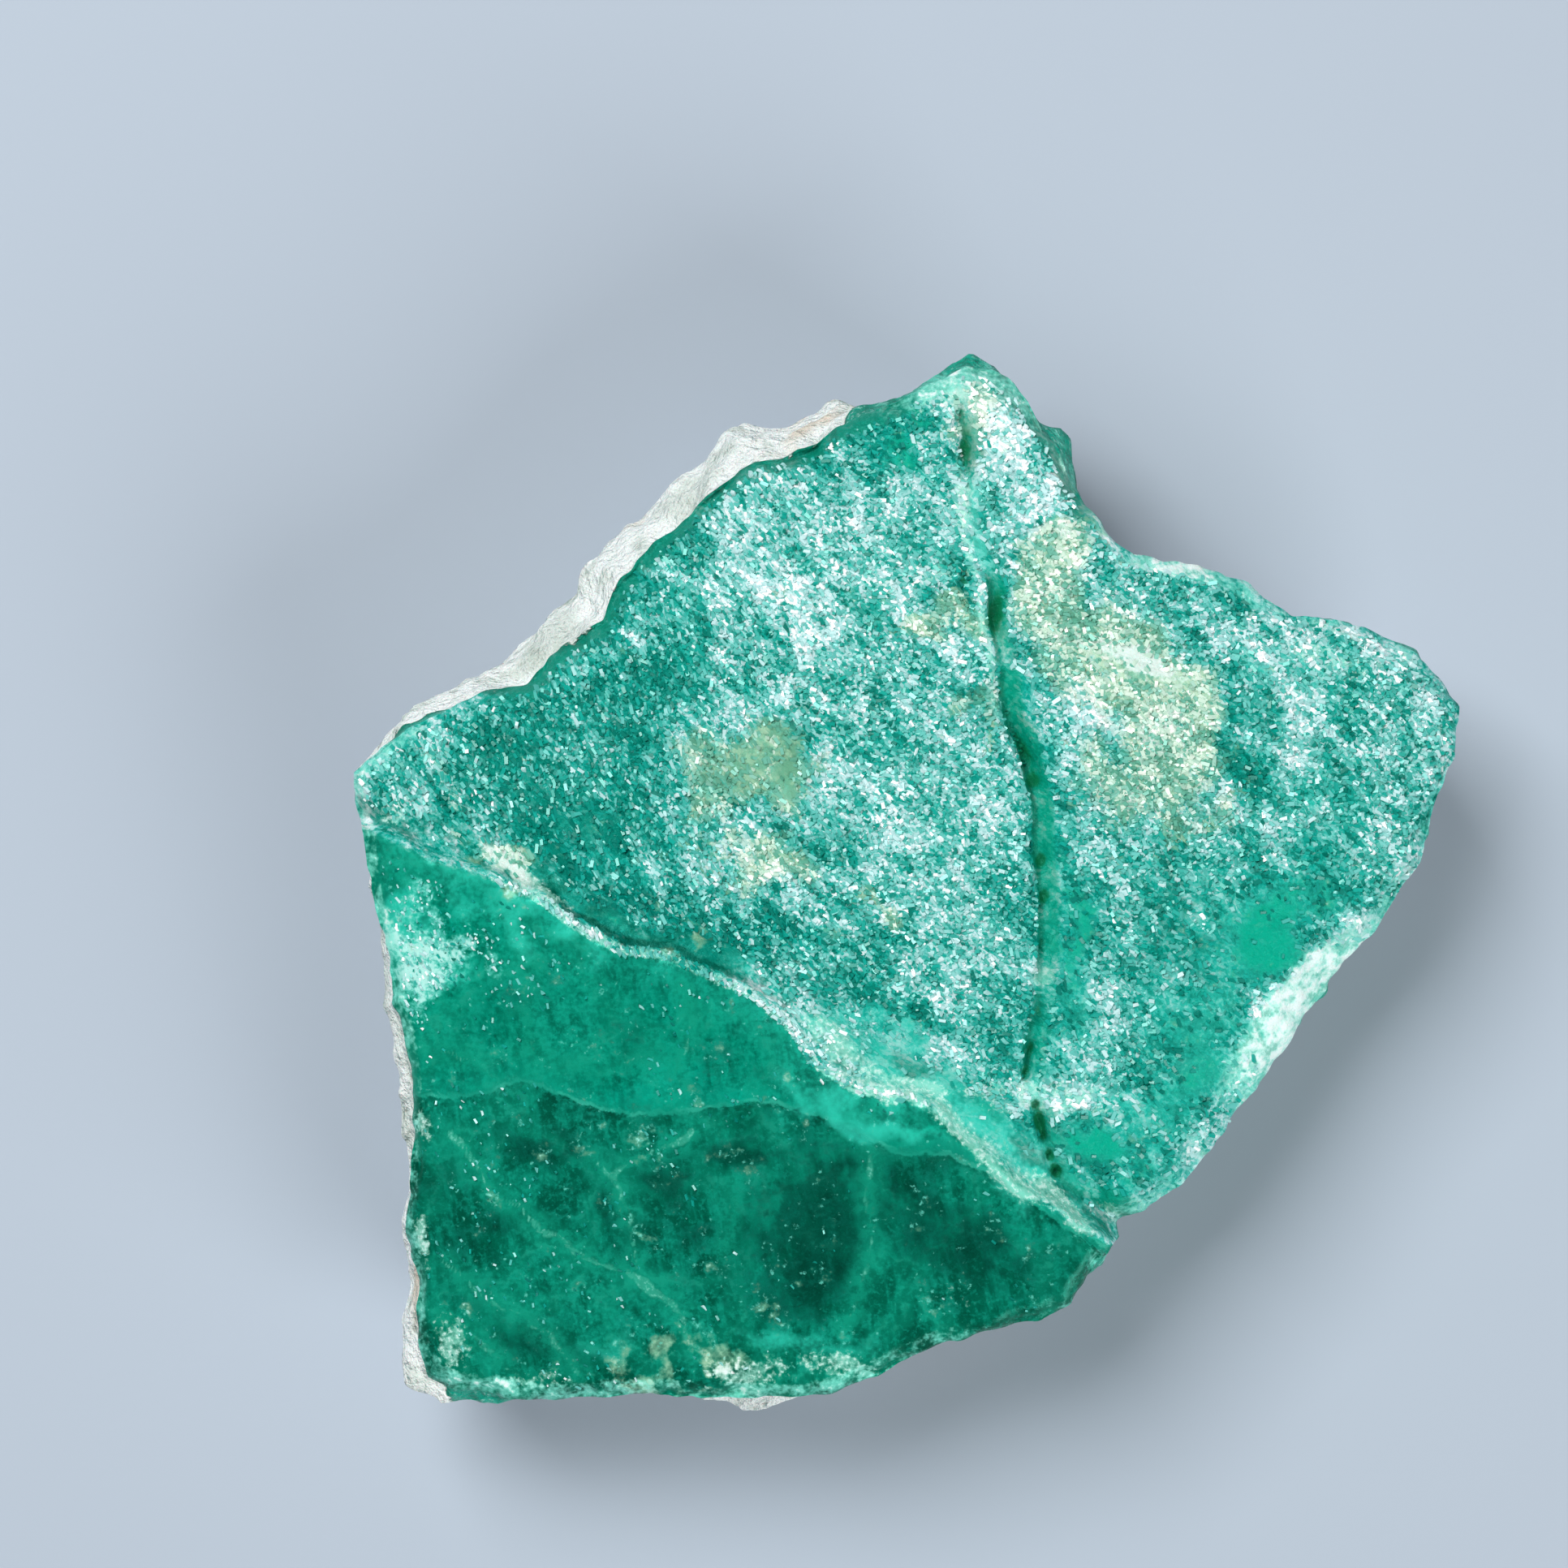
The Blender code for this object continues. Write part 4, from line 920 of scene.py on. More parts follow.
# Noises by size in mm: cloudiness, mottling, lumps, grain and dust
colours = {}
for name, size in (("cloud", 7.0), ("mottle", 2.0), ("lump", 0.7), ("grain", 0.25), ("dust", 0.42)):
    noise = add_node(tree, "ShaderNodeTexNoise", {
        "Vector": place, "Scale": 1000 / size, "Detail": 3.0, "Roughness": 0.6})
    field[name], colours[name] = noise.outputs["Fac"], noise.outputs["Color"]
# Streaks in the waxy ground, 3 mm long and 0.7 mm wide, nearly upright
upright = add_node(tree, "ShaderNodeMapping", {
    "Vector": place, "Rotation": (0, 0, np.radians(12)), "Scale": (0.7 * MM, 3.0 * MM, 0.7 * MM)},
    vector_type="TEXTURE")
field["streak"] = add_node(tree, "ShaderNodeTexNoise", {
    "Vector": upright.outputs["Vector"], "Scale": 1.0, "Detail": 3.0, "Roughness": 0.6}).outputs["Fac"]
# The grains of the break lie about 35 degrees down to the right, 0.4 mm long and half as wide
lying = add_node(tree, "ShaderNodeMapping", {
    "Vector": place, "Rotation": (0, 0, np.radians(-35)), "Scale": (0.42 * MM, 0.22 * MM, 0.22 * MM)},
    vector_type="TEXTURE")
sugar = add_node(tree, "ShaderNodeTexVoronoi", {"Vector": lying.outputs["Vector"], "Scale": 1.0})
field["chance"] = add_node(tree, "ShaderNodeSeparateColor", {"Color": sugar.outputs["Color"]}).outputs["Red"]
# The waxy ground is parted into panes about 6 mm wide and shards about 2.6 mm wide, between wavy seams
wavy = place
for name, reach in (("mottle", 3.6 * MM), ("lump", 0.5 * MM)):
    wavy = add_node(tree, "ShaderNodeVectorMath", {0: colours[name], 1: (reach, reach, reach), 2: wavy},
                    operation="MULTIPLY_ADD").outputs[0]
field["pane_seam"] = add_node(tree, "ShaderNodeTexVoronoi", {"Vector": wavy, "Scale": 1000 / 6.0},
                              feature="DISTANCE_TO_EDGE").outputs["Distance"]
for name, size in (("pane", 6.0), ("shard", 2.6)):
    cells = add_node(tree, "ShaderNodeTexVoronoi", {"Vector": wavy, "Scale": 1000 / size}).outputs["Color"]
    field[name] = add_node(tree, "ShaderNodeSeparateColor", {"Color": cells}).outputs["Red"]
print(len(field), "fields")

# %% [markdown]
# ## From fields to masks
#
# A distance becomes a line, and a noise becomes blotches, by the same move: the field's value is
# stretched between a value that counts as 0 and one that counts as 1. Some distances first get
# a little noise added, which frays the line.

# %% Smithsonite, broken and waxy: its masks
for name, source, fray, amount in (
    ("crust_wide", "crust_mm", "mottle", 2.2), ("crust_edge", "crust_wide", "lump", 1.2),
    ("ledge_wide", "above_mm", "mottle", 0.5), ("ledge_edge", "ledge_wide", "lump", 0.6),
    ("veil_wide", "veil_mm", "mottle", 0.6), ("veil_edge", "veil_wide", "lump", 0.5),
    ("step_edge", "step_mm", "lump", 0.8), ("crack_edge", "crack_mm", "lump", 0.5),
    ("rim_edge", "depth_mm", "lump", 0.8), ("haze_edge", "above_mm", "mottle", 1.2),
    ("cream_wide", "cream", "mottle", 1.6), ("cream_edge", "cream_wide", "lump", 1.4),
    ("pale_wide", "pale", "mottle", 1.0), ("pale_lump", "pale_wide", "lump", 1.0),
    ("pale_edge", "pale_lump", "grain", 0.8), ("aqua_wide", "aqua", "mottle", 1.4),
    ("aqua_edge", "aqua_wide", "lump", 0.6), ("dark_wide", "dark", "mottle", 1.5),
    ("dark_lump", "dark_wide", "lump", 1.4), ("dark_edge", "dark_lump", "grain", 0.5),
    ("vivid_lump", "vivid", "lump", 1.2), ("vivid_edge", "vivid_lump", "grain", 0.6),
    ("waxy_lump", "waxy", "lump", 1.2), ("waxy_edge", "waxy_lump", "grain", 0.6),
    ("cell_tone", "tone", "chance", 0.44), ("ground_tone", "cell_tone", "grain", 1.10),
    ("frost_glint_edge", "frost_and_glints", "lump", 1.4), ("frost_glint_fine", "frost_glint_edge", "grain", 1.0),
    ("rim_wide", "rim_pale", "mottle", 1.5), ("rim_lump", "rim_wide", "lump", 1.1),
    ("rim_fine", "rim_lump", "grain", 0.7), ("pit_edge", "pit", "lump", 0.5),
    ("pane_tone", "pane", "mottle", 1.2), ("shard_tone", "shard", "lump", 1.2),
    ("speck_share", "dust", "mottle", 0.7), ("lip_edge", "lip", "grain", 0.8),
):
    field[name] = add_node(tree, "ShaderNodeMath", {0: field[fray], 1: amount, 2: field[source]},
                           operation="MULTIPLY_ADD").outputs[0]

MASKS = (  # name, field, value that counts as 0, value that counts as 1
    ("cloudy", "cloud", 0.46, 0.62), ("clear_cloud", "cloud", 0.48, 0.36), ("mottled", "mottle", 0.44, 0.62),
    ("thin", "mottle", 0.56, 0.42), ("streaky", "streak", 0.50, 0.64), ("clear_streak", "streak", 0.48, 0.34),
    ("lumpy", "lump", 0.44, 0.60), ("hollow", "lump", 0.48, 0.36), ("speckled", "grain", 0.50, 0.66),
    ("upper", "ledge_edge", 0.35, 0.8), ("lower", "ledge_edge", 0.60, 0.15),
    ("under_step", "step_edge", 0.44, 0.22), ("step_line", "step_edge", 0.62, 0.46),
    ("step_above", "step_edge", 0.26, 0.40), ("near_step", "step_edge", 1.8, 0.3),
    ("on_veil", "veil_edge", 0.76, 0.58), ("near_veil", "veil_wide", 1.6, 0.3),
    ("slit_low", "ledge_edge", 0.74, 0.84), ("slit_high", "ledge_edge", 1.25, 1.02),
    ("trough_low", "ledge_edge", 0.75, 1.05), ("trough_high", "ledge_edge", 2.9, 1.6),
    ("on_rim", "rim_edge", -0.75, -0.30), ("on_wall", "rim_edge", 0.45, 1.0),
    ("slope_left", "crack_edge", 0.02, 0.2), ("slope_right", "crack_edge", 1.6, 1.1),
    ("cracked", "crack_depth", 0.1, 0.5), ("shut", "crack_depth", 0.35, 0.1),
    ("tone_1", "ground_tone", 0.80, 1.08), ("tone_2", "ground_tone", 1.05, 1.34),
    ("tone_3", "ground_tone", 1.30, 1.56), ("tone_4", "ground_tone", 1.58, 1.84),
    ("frosty_glinting", "frost_glint_fine", 1.70, 2.10), ("frost_glint_core", "frost_glint_fine", 1.95, 2.30),
    ("thin_rim", "rim_fine", 2.00, 2.60), ("bright_rim", "rim_fine", 2.45, 2.85),
    ("haze", "haze_edge", -2.4, 0.8), ("dark_pane", "pane_tone", 0.95, 0.55),
    ("light_pane", "pane_tone", 1.15, 1.50), ("dark_shard", "shard_tone", 0.95, 0.55),
    ("light_shard", "shard_tone", 1.2, 1.55), ("on_pane_seam", "pane_seam", 0.045, 0.008),
    ("near_pane_seam", "pane_seam", 0.17, 0.01), ("dusty", "grain", 0.52, 0.40),
    ("specked", "speck_share", 0.98, 1.06), ("in_pit", "pit_edge", 0.45, 0.75),
    ("line_left", "crack_edge", 0.10, 0.22), ("line_right", "crack_edge", 0.52, 0.38),
    ("pale_lip", "lip_edge", 0.80, 1.10), ("creamy", "cream_edge", 1.76, 2.28),
    ("cream_core", "cream_edge", 2.0, 2.4), ("milky", "pale_edge", 1.75, 2.15),
    ("watery", "aqua_edge", 1.15, 2.0), ("sunk", "dark_edge", 1.80, 2.60),
    ("vivid_place", "vivid_edge", 1.20, 1.80), ("waxy_place", "waxy_edge", 1.15, 1.85),
    ("crusted", "crust_edge", 1.66, 1.86), ("crust_rim", "crust_edge", 1.20, 1.60),
    ("crust_pit", "mottle", 0.48, 0.36), ("tan", "cloud", 0.54, 0.66), ("fine_pit", "lump", 0.44, 0.34),
    ("crust_outer", "crust_edge", 2.5, 3.7),
)

for name, source, at_zero, at_one in MASKS:
    field[name] = add_node(tree, "ShaderNodeMapRange", {
        "Value": field[source], "From Min": at_zero, "From Max": at_one},
        interpolation_type="SMOOTHSTEP").outputs["Result"]
print(len(MASKS), "masks")

# %% [markdown]
# ## Coats of colour
#
# Each coat is a colour, how strongly it covers, and the masks that it is held to. A coat's
# amount is its strength times all its masks, and it is mixed over what lies under it.

# %% Smithsonite, broken and waxy: its colours
# Green to white by the tone. The white end is partly the frost's own white and partly painted glints, and on
# the lips and the thin rim partly painted light.
SUGAR_COATS = (("#0AA090", 1.0, ("tone_1",)), ("#66C0B7", 1.0, ("tone_2",)), ("#BDDFDF", 1.0, ("tone_3",)),
               ("#FFFFFF", 1.0, ("tone_4",)))
COATS = (  # colour, strength, masks
    *SUGAR_COATS,
    ("#2CAF9C", 0.65, ("waxy_place",)),
    ("#00856C", 0.45, ("waxy_place", "hollow")),
    ("#7FD6C8", 0.5, ("waxy_place", "speckled", "lumpy")),
    ("#008269", 1.0, ("lower",)),
    ("#009F86", 0.7, ("lower", "cloudy")),
    ("#00735B", 0.5, ("lower", "clear_cloud")),
    ("#22B59C", 0.6, ("haze", "lower")),
    ("#004F3B", 1.0, ("lower", "under_step")),
    ("#00634C", 0.8, ("lower", "under_step", "cloudy")),
    ("#003B2A", 0.65, ("lower", "under_step", "dark_pane")),
    ("#00664F", 0.6, ("lower", "dark_pane")),
    ("#058A70", 0.35, ("lower", "light_pane")),
    ("#004A38", 0.4, ("lower", "dark_shard")),
    ("#0D9A80", 0.3, ("lower", "light_shard")),
    ("#0F9A80", 0.35, ("lower", "streaky")),
    ("#003F2F", 0.4, ("lower", "clear_streak")),
    ("#00402F", 0.35, ("lower", "hollow")),
    ("#16A58C", 0.5, ("lower", "lumpy", "mottled")),
    ("#004434", 0.22, ("lower", "dusty")),
    ("#18A38A", 0.28, ("lower", "speckled")),
    ("#0B8E72", 0.35, ("near_pane_seam", "lower")),
    ("#229A80", 0.30, ("on_pane_seam", "lower", "lumpy")),
    ("#002C20", 0.74, ("sunk", "lower")),
    ("#007866", 0.7, ("sunk", "upper")),
    ("#00A083", 0.95, ("vivid_place",)),
    ("#0F9377", 0.55, ("near_veil", "lower", "lumpy")),
    ("#0C876C", 0.4, ("near_veil", "lower")),
    ("#3FB095", 0.45, ("on_veil", "lower")),
    ("#7ACDB8", 0.45, ("on_veil", "lower", "speckled")),
    # A lighter band and a pale line along the step's upper edge: painted highlight.
    ("#0A957B", 0.5, ("lower", "step_above", "near_step")),
    ("#3DB89E", 0.45, ("lower", "step_above", "step_line", "mottled")),
    ("#2AA88E", 0.25, ("lower", "step_above", "step_line")),
    ("#2FC4AB", 0.7, ("watery", "lower")),
    ("#38C4B0", 0.55, ("watery", "upper")),
    # Frost on the lower ground, its white partly painted glints.
    ("#5FC8B8", 0.7, ("frosty_glinting", "lower")),
    ("#C9F0EA", 0.6, ("frost_glint_core", "lower")),
    ("#7DB293", 0.75, ("creamy",)),
    ("#C3DFC4", 0.75, ("creamy", "tone_3")),
    ("#5C9674", 0.6, ("creamy", "sunk")),
    ("#B4D6B4", 0.4, ("cream_core", "lumpy")),
    ("#62CBB8", 0.6, ("specked", "speckled", "lower")),
    ("#0A8069", 0.85, ("on_rim", "upper", "bare_rim")),
    # Painted shade in the worn trough above the ledge.
    ("#005C48", 0.6, ("trough_low", "trough_high", "thin")),
    # The lips' crest: partly crushed white mineral, partly painted highlight.
    ("#8FDFCB", 0.7, ("pale_lip",)),
    ("#F2FFFC", 0.8, ("pale_lip", "lumpy", "speckled")),
    # Painted shade in the slit over the ledge's lip.
    ("#003E2D", 0.85, ("slit_low", "slit_high", "slit_shade")),
    ("#98DCC9", 0.55, ("milky",)),
    ("#DBE8E2", 0.85, ("milky", "creamy")),
    ("#F4FFFC", 0.4, ("milky", "speckled")),
    ("#5FCDB9", 0.4, ("slope_left", "slope_right", "shut")),
    ("#028A6E", 0.8, ("slope_left", "slope_right", "cracked")),
    # Painted shade along the crack's floor, at the foot of its steep left wall.
    ("#00573F", 0.5, ("line_left", "line_right", "cracked")),
    # Painted light coming through the thin rim: pale to white, with darker hollows.
    ("#7ADBC8", 0.8, ("thin_rim",)),
    ("#CDF3EA", 0.6, ("bright_rim",)),
    ("#FFFFFF", 0.6, ("bright_rim", "lumpy")),
    ("#2FA88F", 0.5, ("thin_rim", "hollow")),
    ("#0A6B3E", 0.85, ("in_pit",)),
    ("#0C9A82", 0.9, ("on_wall",)),
    ("#6CD0BC", 0.65, ("on_wall", "mottled")),
    ("#00705A", 0.7, ("on_wall", "clear_cloud")),
    ("#00604B", 0.5, ("on_wall", "hollow")),
    ("#B4E8DC", 0.55, ("on_wall", "speckled", "lumpy")),
    ("#006450", 0.7, ("crust_rim",)),
    ("#F6FCF8", 1.0, ("crusted",)),
    ("#B9C6B8", 0.4, ("crusted", "crust_pit")),
    ("#A3B3A2", 0.35, ("crusted", "clear_cloud")),
    ("#D8BC9C", 0.6, ("crusted", "tan", "crust_outer")),
    ("#858979", 0.55, ("crusted", "fine_pit", "crust_pit")),
)


def laid_in_coats(tree, field, coats):
    """The colour of clear mineral with each coat mixed over it: its strength times all its masks."""
    colour = linear("#007667")
    for hex_colour, amount, masks in coats:
        for name in masks:
            amount = add_node(tree, "ShaderNodeMath", {0: field[name], 1: amount},
                              operation="MULTIPLY").outputs[0]
        colour = add_node(tree, "ShaderNodeMix", {0: amount, 6: colour, 7: linear(hex_colour)},
                          data_type="RGBA").outputs[2]
    return colour


tree.links.new(laid_in_coats(tree, field, COATS), shader.inputs["Base Color"])
print(len(COATS), "coats of colour")

# %% [markdown]
# ## How it shines and how rough it feels
#
# The waxy breaks shine softly, the sugary ground is duller between its glints, and the crust
# hardly shines at all. What is finer than the mesh becomes bump, in real heights: lumps of a
# tenth of a millimetre on the sugar, grit on the crust, almost nothing on the waxy ground.

# %% Smithsonite, broken and waxy: shine and bump
WAXY_SHINE = 0.24
shine = WAXY_SHINE
for name, change in (("upper", 0.16), ("on_wall", 0.10), ("crusted", 0.45), ("lumpy", 0.05)):
    shine = add_node(tree, "ShaderNodeMath", {0: field[name], 1: change, 2: shine},
                     operation="MULTIPLY_ADD").outputs[0]
tree.links.new(shine, shader.inputs["Roughness"])

height = 0.0
for name, mask, tall in (  # field, where, height in mm
    ("lump", "upper", 0.16), ("grain", "upper", 0.07), ("chance", "upper", 0.06),
    ("grain", "lower", 0.02), ("lump", "lower", 0.03),
    ("lump", "on_wall", 0.30), ("mottle", "on_wall", 0.45), ("grain", "on_wall", 0.06),
    ("grain", "crusted", 0.14), ("lump", "crusted", 0.30),
):
    part = add_node(tree, "ShaderNodeMath", {0: field[name], 1: field[mask]}, operation="MULTIPLY").outputs[0]
    height = add_node(tree, "ShaderNodeMath", {0: part, 1: tall, 2: height},
                      operation="MULTIPLY_ADD").outputs[0]
bump = add_node(tree, "ShaderNodeBump", {"Height": height, "Distance": MM, "Strength": 1.0})
tree.links.new(bump.outputs["Normal"], shader.inputs["Normal"])

for name, value in (
    ("IOR", 1.65), ("Specular IOR Level", 0.3), ("Specular Tint", linear("#5CE0C8")),
    ("Subsurface Weight", 0.2), ("Subsurface Radius", (0.35, 1.0, 0.8)), ("Subsurface Scale", 1.0 * MM),
):
    shader.inputs[name].default_value = value
stone.data.materials.append(waxy)
print("waxy ground roughness", WAXY_SHINE, "and crust about 0.7; light reaches 1 mm in")

# %% [markdown]
# ## The sugar
#
# The plateau glitters because it broke round its grains, and each grain shows a flat cleavage
# face of its own. A bump can shade such a face, but it can't catch the light as a flat does, and
# it is gone from the mesh. So the grains are real: small leaning boxes, the shape that a
# rhombohedral mineral breaks into, sunk about two thirds into the ground. Each has six faces.
# They are worked out as whole arrays and kept as five meshes: three for the plateau, one for
# the crumbs on the lips and pale rims, and one for the few that lie on the waxy ground.

# %% Where the grains sit
SPACING, CRUMB_SPACING, STRAY_SPACING = 0.235, 0.18, 0.30
dice = np.random.default_rng(SEED + 50)


def scattered(spacing):
    """A triangular lattice, its rows 0.866 spacings apart, each place moved at random by up to 0.4 of one."""
    u, v = np.meshgrid(np.arange(-33.0, 33.0, spacing), np.arange(-31.0, 31.0, spacing * 0.866))
    u = u + (np.arange(len(u)) % 2)[:, None] * spacing / 2
    x, y = u.ravel(), v.ravel()
    return x + dice.uniform(-0.4, 0.4, len(x)) * spacing, y + dice.uniform(-0.4, 0.4, len(x)) * spacing


def within(x, y):
    """Whether a place is inside the outline: nearer the middle than the rim at its bearing."""
    rim_bearing = np.radians(bearing_of(*LOOP.T))
    order = np.argsort(rim_bearing)
    rim_reach = np.hypot(LOOP[:, 0] - FACE_MIDDLE[0], LOOP[:, 1] - FACE_MIDDLE[1])
    reach = np.interp(np.radians(bearing_of(x, y)), rim_bearing[order], rim_reach[order], period=2 * np.pi)
    return np.hypot(x - FACE_MIDDLE[0], y - FACE_MIDDLE[1]) < reach


def flaw_share(x, y):
    """Stray grains below the ledge: few, more where frost and painted glints lie."""
    below = smooth(1.0, -0.3 - beside(x, y, LEDGE)[0]) * smooth(0.5, inside_rim(x, y) - 0.4)
    clusters = smooth(1.0, 0.35 + lattice_noise(on_ground(x, y), 1.6, 51))
    few = 0.16 * (1.0 - 0.75 * smooth(8.0, x + 12.0)) * clusters**2
    return below * np.clip(few + 0.8 * finish_at("frost_and_glints", x, y), 0.0, 1.0)


def sugar_share(x, y):
    """How much of the ground is grainy: the plateau off its rim, ledge and crack, less where dark, pitted or
    lipped, and hardly any where waxy.
    """
    above, along = beside(x, y, LEDGE)
    wide = np.interp(along, range(len(LEDGE)), SUGARED_ABOVE)
    off_ledge = smooth(1.2, above - 0.6 + 1.6 * smooth(1.0, wide))
    bare = up_to_crust_end(x, y, GREEN_RIM_FROM, 5.0)
    off_rim = smooth(0.5, inside_rim(x, y) - 0.1 - 0.25 * bare) * (1.0 - 0.85 * rim_pale(x, y))
    right, along = beside(x, y, CRACK)
    slope = np.interp(along, range(len(CRACK)), CRACK[:, 3] * smooth(0.5, CRACK[:, 2]))
    off_crack = np.where(right > 0, smooth(0.6, right - 0.7 * slope), smooth(0.2, -right - 0.1))
    bright = (1.0 - 0.4 * stained(x, y, DARK) - 0.6 * patches(x, y, PITS)) * (1.0 - 0.6 * crack_lip(x, y))
    return off_ledge * off_rim * off_crack * bright * (1.0 - 0.98 * smooth(1.0, stained(x, y, WAXY)))


def crumb_share(x, y):
    """Crumbs on the ledge's lip, and on the pale rims of the waxy ground."""
    pale_rim = rim_pale(x, y) * smooth(1.0, 0.5 - beside(x, y, LEDGE)[0])
    share = np.clip(1.2 * ledge_lip(x, y) - 0.4 + 0.35 * pale_rim, 0.0, 1.0)
    return share * smooth(0.3, inside_rim(x, y) - 0.15)


def kept_places(spacing, share):
    """Scattered places inside the outline, each kept with the chance that `share` gives it."""
    x, y = scattered(spacing)
    x, y = (c[within(x, y)] for c in (x, y))
    kept = dice.uniform(0, 1, len(x)) < share(x, y)
    return x[kept], y[kept]


grain_x, grain_y = kept_places(SPACING, sugar_share)
right_of_crack = beside(grain_x, grain_y, CRACK)[0] > 0
HALFWAY_UP = 6.5  # parts the left grains in two meshes, so that none has too many faces
upper_left = ~right_of_crack & (grain_y > HALFWAY_UP)
lower_left = ~right_of_crack & (grain_y <= HALFWAY_UP)
print(len(grain_x), "grains, which is", len(grain_x) * 12, "triangles")

# %% Many leaning boxes as one mesh
BOX = np.array([(i, j, k) for k in (-0.5, 0.5) for j in (-0.5, 0.5) for i in (-0.5, 0.5)])
LEAN = np.array([0.25, 0.15, 0.0])  # how far a rhomb's top stands off its foot, in shares of its height
BOX_QUADS = np.array([(0, 2, 3, 1), (4, 5, 7, 6), (0, 1, 5, 4), (2, 6, 7, 3), (0, 4, 6, 2), (1, 3, 7, 5)])


def leaning_boxes(middles, sizes, headings, tilts):
    """Every box's corners: the unit box sheared to a rhomb, sized, tilted, turned and put in place.

    The tilt is a turn about X and then about Y, the heading a turn about Z, as matrix products
    over all boxes at once.
    """
    corners = (BOX + BOX[:, 2:] * LEAN) * sizes[:, None, :]
    for axis, angle in ((0, tilts[:, 0]), (1, tilts[:, 1]), (2, headings)):
        one, two = (axis + 1) % 3, (axis + 2) % 3
        c, s = np.cos(angle)[:, None], np.sin(angle)[:, None]
        first, second = corners[..., one].copy(), corners[..., two].copy()
        corners[..., one], corners[..., two] = c * first - s * second, s * first + c * second
    quads = BOX_QUADS + 8 * np.arange(len(middles))[:, None, None]
    return (corners + middles[:, None, :]).reshape(-1, 3), quads.reshape(-1, 4)


# Widths in shares of the usual one, lengths in widths, how far a grain's middle is sunk in widths
GRAIN_WIDTHS, GRAIN_LENGTHS, SINK = (0.55, 1.35), (1.5, 3.0), 0.15
# Degrees on the left, and the change across the mm where they turn
HEADING, HEADING_CHANGE, SPREAD, SPREAD_CHANGE, TILT = -60, 32, 22, 14, 31
TURNING_FROM, TURNING_OVER, LENGTH_CHANGE = -16.0, 18.0, -0.5
# A glinting grain is painted paler: painted highlight.
PAINTED_GLINT, UNEVEN = 0.20, 0.21  # how much paler a glinting grain is, and how unlike one another grains are


def grain_mesh(name, x, y, coarse):
    """Grains about `coarse` mm wide and twice as long, two thirds sunk, tilted, as pale as their place or so.

    They lie steeply down to the right on the left of the face and flatter further right.
    """
    count = len(x)
    rightward = smooth(TURNING_OVER, x - TURNING_FROM)
    longest = GRAIN_LENGTHS[1] + LENGTH_CHANGE * rightward
    wide = coarse * dice.uniform(*GRAIN_WIDTHS, count)
    sizes = np.stack([wide * dice.uniform(GRAIN_LENGTHS[0], longest, count), wide, wide], axis=-1)
    turns = dice.normal(0, 1, count) * (SPREAD + SPREAD_CHANGE * rightward)
    headings = np.radians(turns + HEADING + HEADING_CHANGE * rightward)
    tilts = np.radians(dice.normal(0, TILT, (count, 2)))
    middles = np.stack([x, y, torn_face(x, y) - SINK * wide], axis=-1)
    points, grain_quads = leaning_boxes(middles, sizes, headings, tilts)
    made = mesh_object(name, points, grain_quads.tolist())
    carry(made, "cream", np.repeat(finish_at("cream", x, y), 8))
    # A few grains, more where frost lies, are painted paler to stand for glints: painted highlight.
    glint = PAINTED_GLINT * (dice.uniform(0, 1, count) < 0.03 + 0.09 * finish_at("frost_and_glints", x, y))
    uneven = UNEVEN * dice.normal(0, 1, count) * (1.0 - 0.5 * stained(x, y, WAXY))
    carry(made, "tone", np.repeat(tone_at(x, y) + uneven + glint, 8))
    return made


grains = [
    grain_mesh(name, grain_x[part], grain_y[part], coarse) for name, part, coarse in (
        ("sugar_upper_left", upper_left, 0.15), ("sugar_lower_left", lower_left, 0.15),
        ("sugar_right_of_crack", right_of_crack, 0.16),
    )
]
for name, spacing, share, coarse in (
    ("crumbs_on_the_lips", CRUMB_SPACING, crumb_share, 0.14),
    ("stray_grains_below", STRAY_SPACING, flaw_share, 0.10),
):
    grains.append(grain_mesh(name, *kept_places(spacing, share), coarse))
print([(piece.name, len(piece.data.polygons) * 2) for piece in grains])

# %% [markdown]
# ## The grains' finish
#
# A cleavage face is glassier than the ground between, so a grain shines more sharply, with a
# faint green cast. Its colour comes from the same coats as the ground's, from green to white where
# the light scatters inside it, whiter still where a glint is painted on it, or cream where weathering got in.

# %% Smithsonite, cleaved and glassy
glassy, tree, shader = new_material("smithsonite_cleaved_glassy")
field = {name: add_node(tree, "ShaderNodeAttribute", attribute_name=name).outputs["Fac"]
         for name in ("cream", "tone")}
for name, source, at_zero, at_one in (
    ("tone_1", "tone", 0.03, 0.31), ("tone_2", "tone", 0.28, 0.57), ("tone_3", "tone", 0.53, 0.79),
    ("tone_4", "tone", 0.81, 1.07), ("creamy", "cream", 0.3, 0.6),
):
    field[name] = add_node(tree, "ShaderNodeMapRange", {
        "Value": field[source], "From Min": at_zero, "From Max": at_one},
        interpolation_type="SMOOTHSTEP").outputs["Result"]
GRAIN_COATS = (
    *SUGAR_COATS, ("#78AE90", 0.6, ("creamy",)), ("#D2E8D6", 0.85, ("creamy", "tone_3")),
    ("#FFFFF6", 0.9, ("creamy", "tone_4")),
)
tree.links.new(laid_in_coats(tree, field, GRAIN_COATS), shader.inputs["Base Color"])
for name, value in (("Roughness", 0.28), ("IOR", 1.7), ("Specular Tint", linear("#C2F2EA"))):
    shader.inputs[name].default_value = value
for piece in grains:
    piece.data.materials.append(glassy)
print("grain roughness 0.28")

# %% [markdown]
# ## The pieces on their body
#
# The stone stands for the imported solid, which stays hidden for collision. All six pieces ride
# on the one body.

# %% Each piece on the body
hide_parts("smithsonite")
for piece in (stone, *grains):
    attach(piece, "root")
print("pieces:", stone.name, *[piece.name for piece in grains])

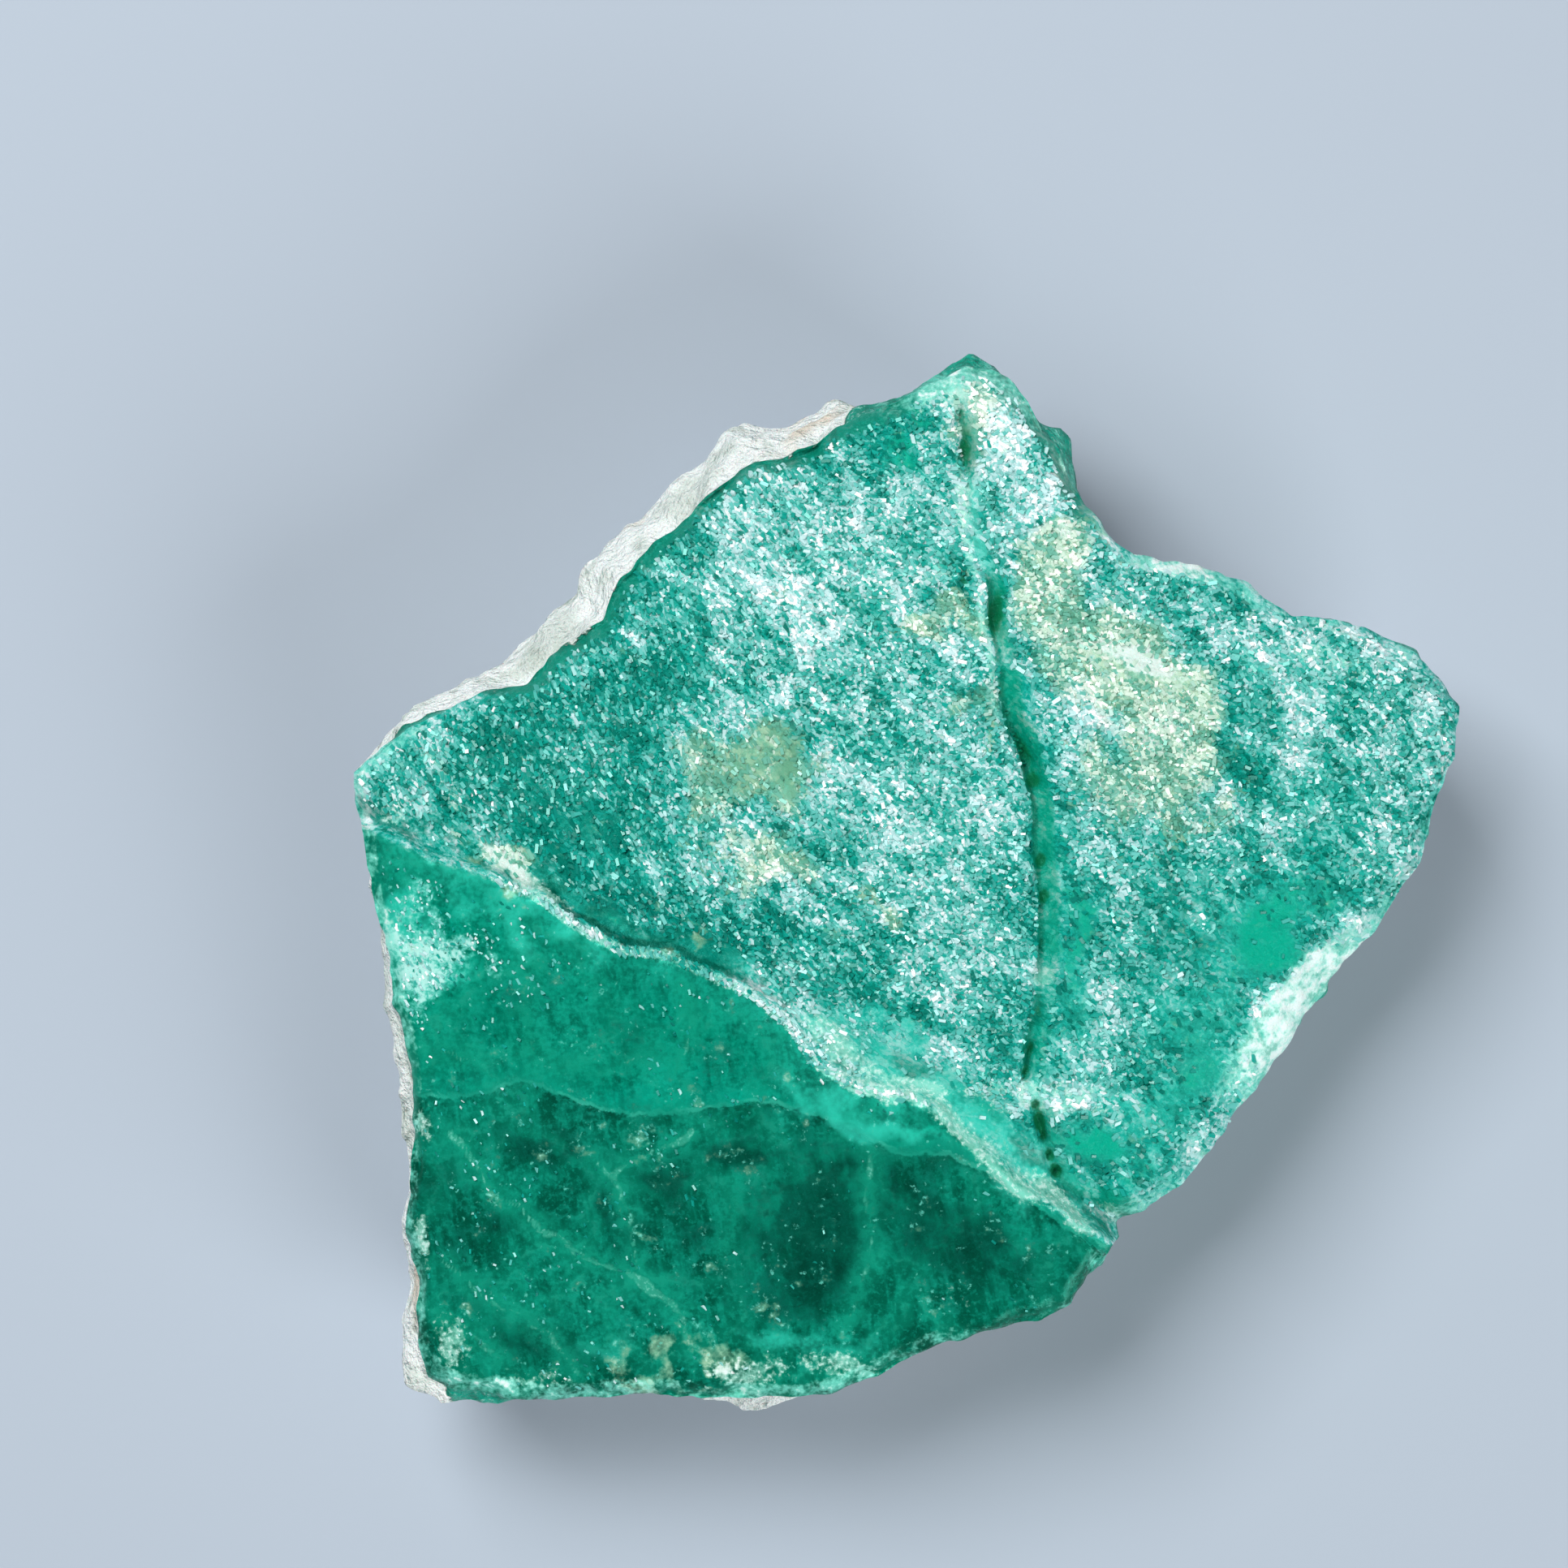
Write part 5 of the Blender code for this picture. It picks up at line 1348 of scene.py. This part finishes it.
# %% [markdown]
# ## Floor, light and camera
#
# The stone lies on a pale blue-grey floor. A soft key lamp stands to the upper left, small
# enough to make the grains glint, a weaker fill to the lower right, and a pale sky opens the
# shadows. The camera looks straight down on the face from 240 mm, where the frame is 84 mm
# wide, with the stone a little right of its middle.

# %% The floor
FLOOR_HALF = 900.0  # mm
floor_corners = np.array([(-1, -1, 0), (1, -1, 0), (1, 1, 0), (-1, 1, 0)]) * FLOOR_HALF
floor = mesh_object("floor", floor_corners - SHIFT, [(0, 1, 2, 3)])
paper, tree, shader = new_material("card_pale_matt")
shader.inputs["Base Color"].default_value = linear("#A9B4C0")
shader.inputs["Roughness"].default_value = 0.9
floor.data.materials.append(paper)

# %% The lights
scene = bpy.context.scene
scene.view_settings.view_transform = "Standard"
LAMP_AIM = (0.0, 0.0, 0.012)  # just under the face, in metres


def lamp(name, place, size, watts):
    """A square area lamp at a place in metres, turned to the stone."""
    light = bpy.data.lights.new(name, "AREA")
    light.size, light.energy = size, watts
    made = bpy.data.objects.new(name, light)
    scene.collection.objects.link(made)
    made.location = place
    direction = np.array(LAMP_AIM) - np.array(place)
    flat = np.hypot(direction[0], direction[1])
    heading = np.arctan2(direction[1], direction[0]) - np.pi / 2
    made.rotation_euler = (np.arctan2(flat, -direction[2]), 0.0, heading)


lamp("key", (-0.19, 0.23, 0.42), 0.28, 2.85)
lamp("fill", (0.30, -0.34, 0.28), 0.35, 2.3)
sky = scene.world or bpy.data.worlds.new("sky")
scene.world = sky
sky.use_nodes = True
sky.node_tree.nodes["Background"].inputs["Color"].default_value = linear("#E8EFF6")
sky.node_tree.nodes["Background"].inputs["Strength"].default_value = 0.13
print("two lamps and a pale sky")

# %% The camera
FRAME_WIDTH, HEIGHT_OVER_FACE = 84.0, 240.0
camera = bpy.data.objects.new("camera", bpy.data.cameras.new("camera"))
scene.collection.objects.link(camera)
scene.camera = camera
camera.location = (np.array([-6.74, 5.43, THICKNESS + HEIGHT_OVER_FACE]) + SHIFT) * MM
camera.data.sensor_width = 36.0
camera.data.lens = 36.0 * HEIGHT_OVER_FACE / FRAME_WIDTH
camera.data.clip_start = 0.01
print("camera at", [round(v * 1000, 1) for v in camera.location], "mm")
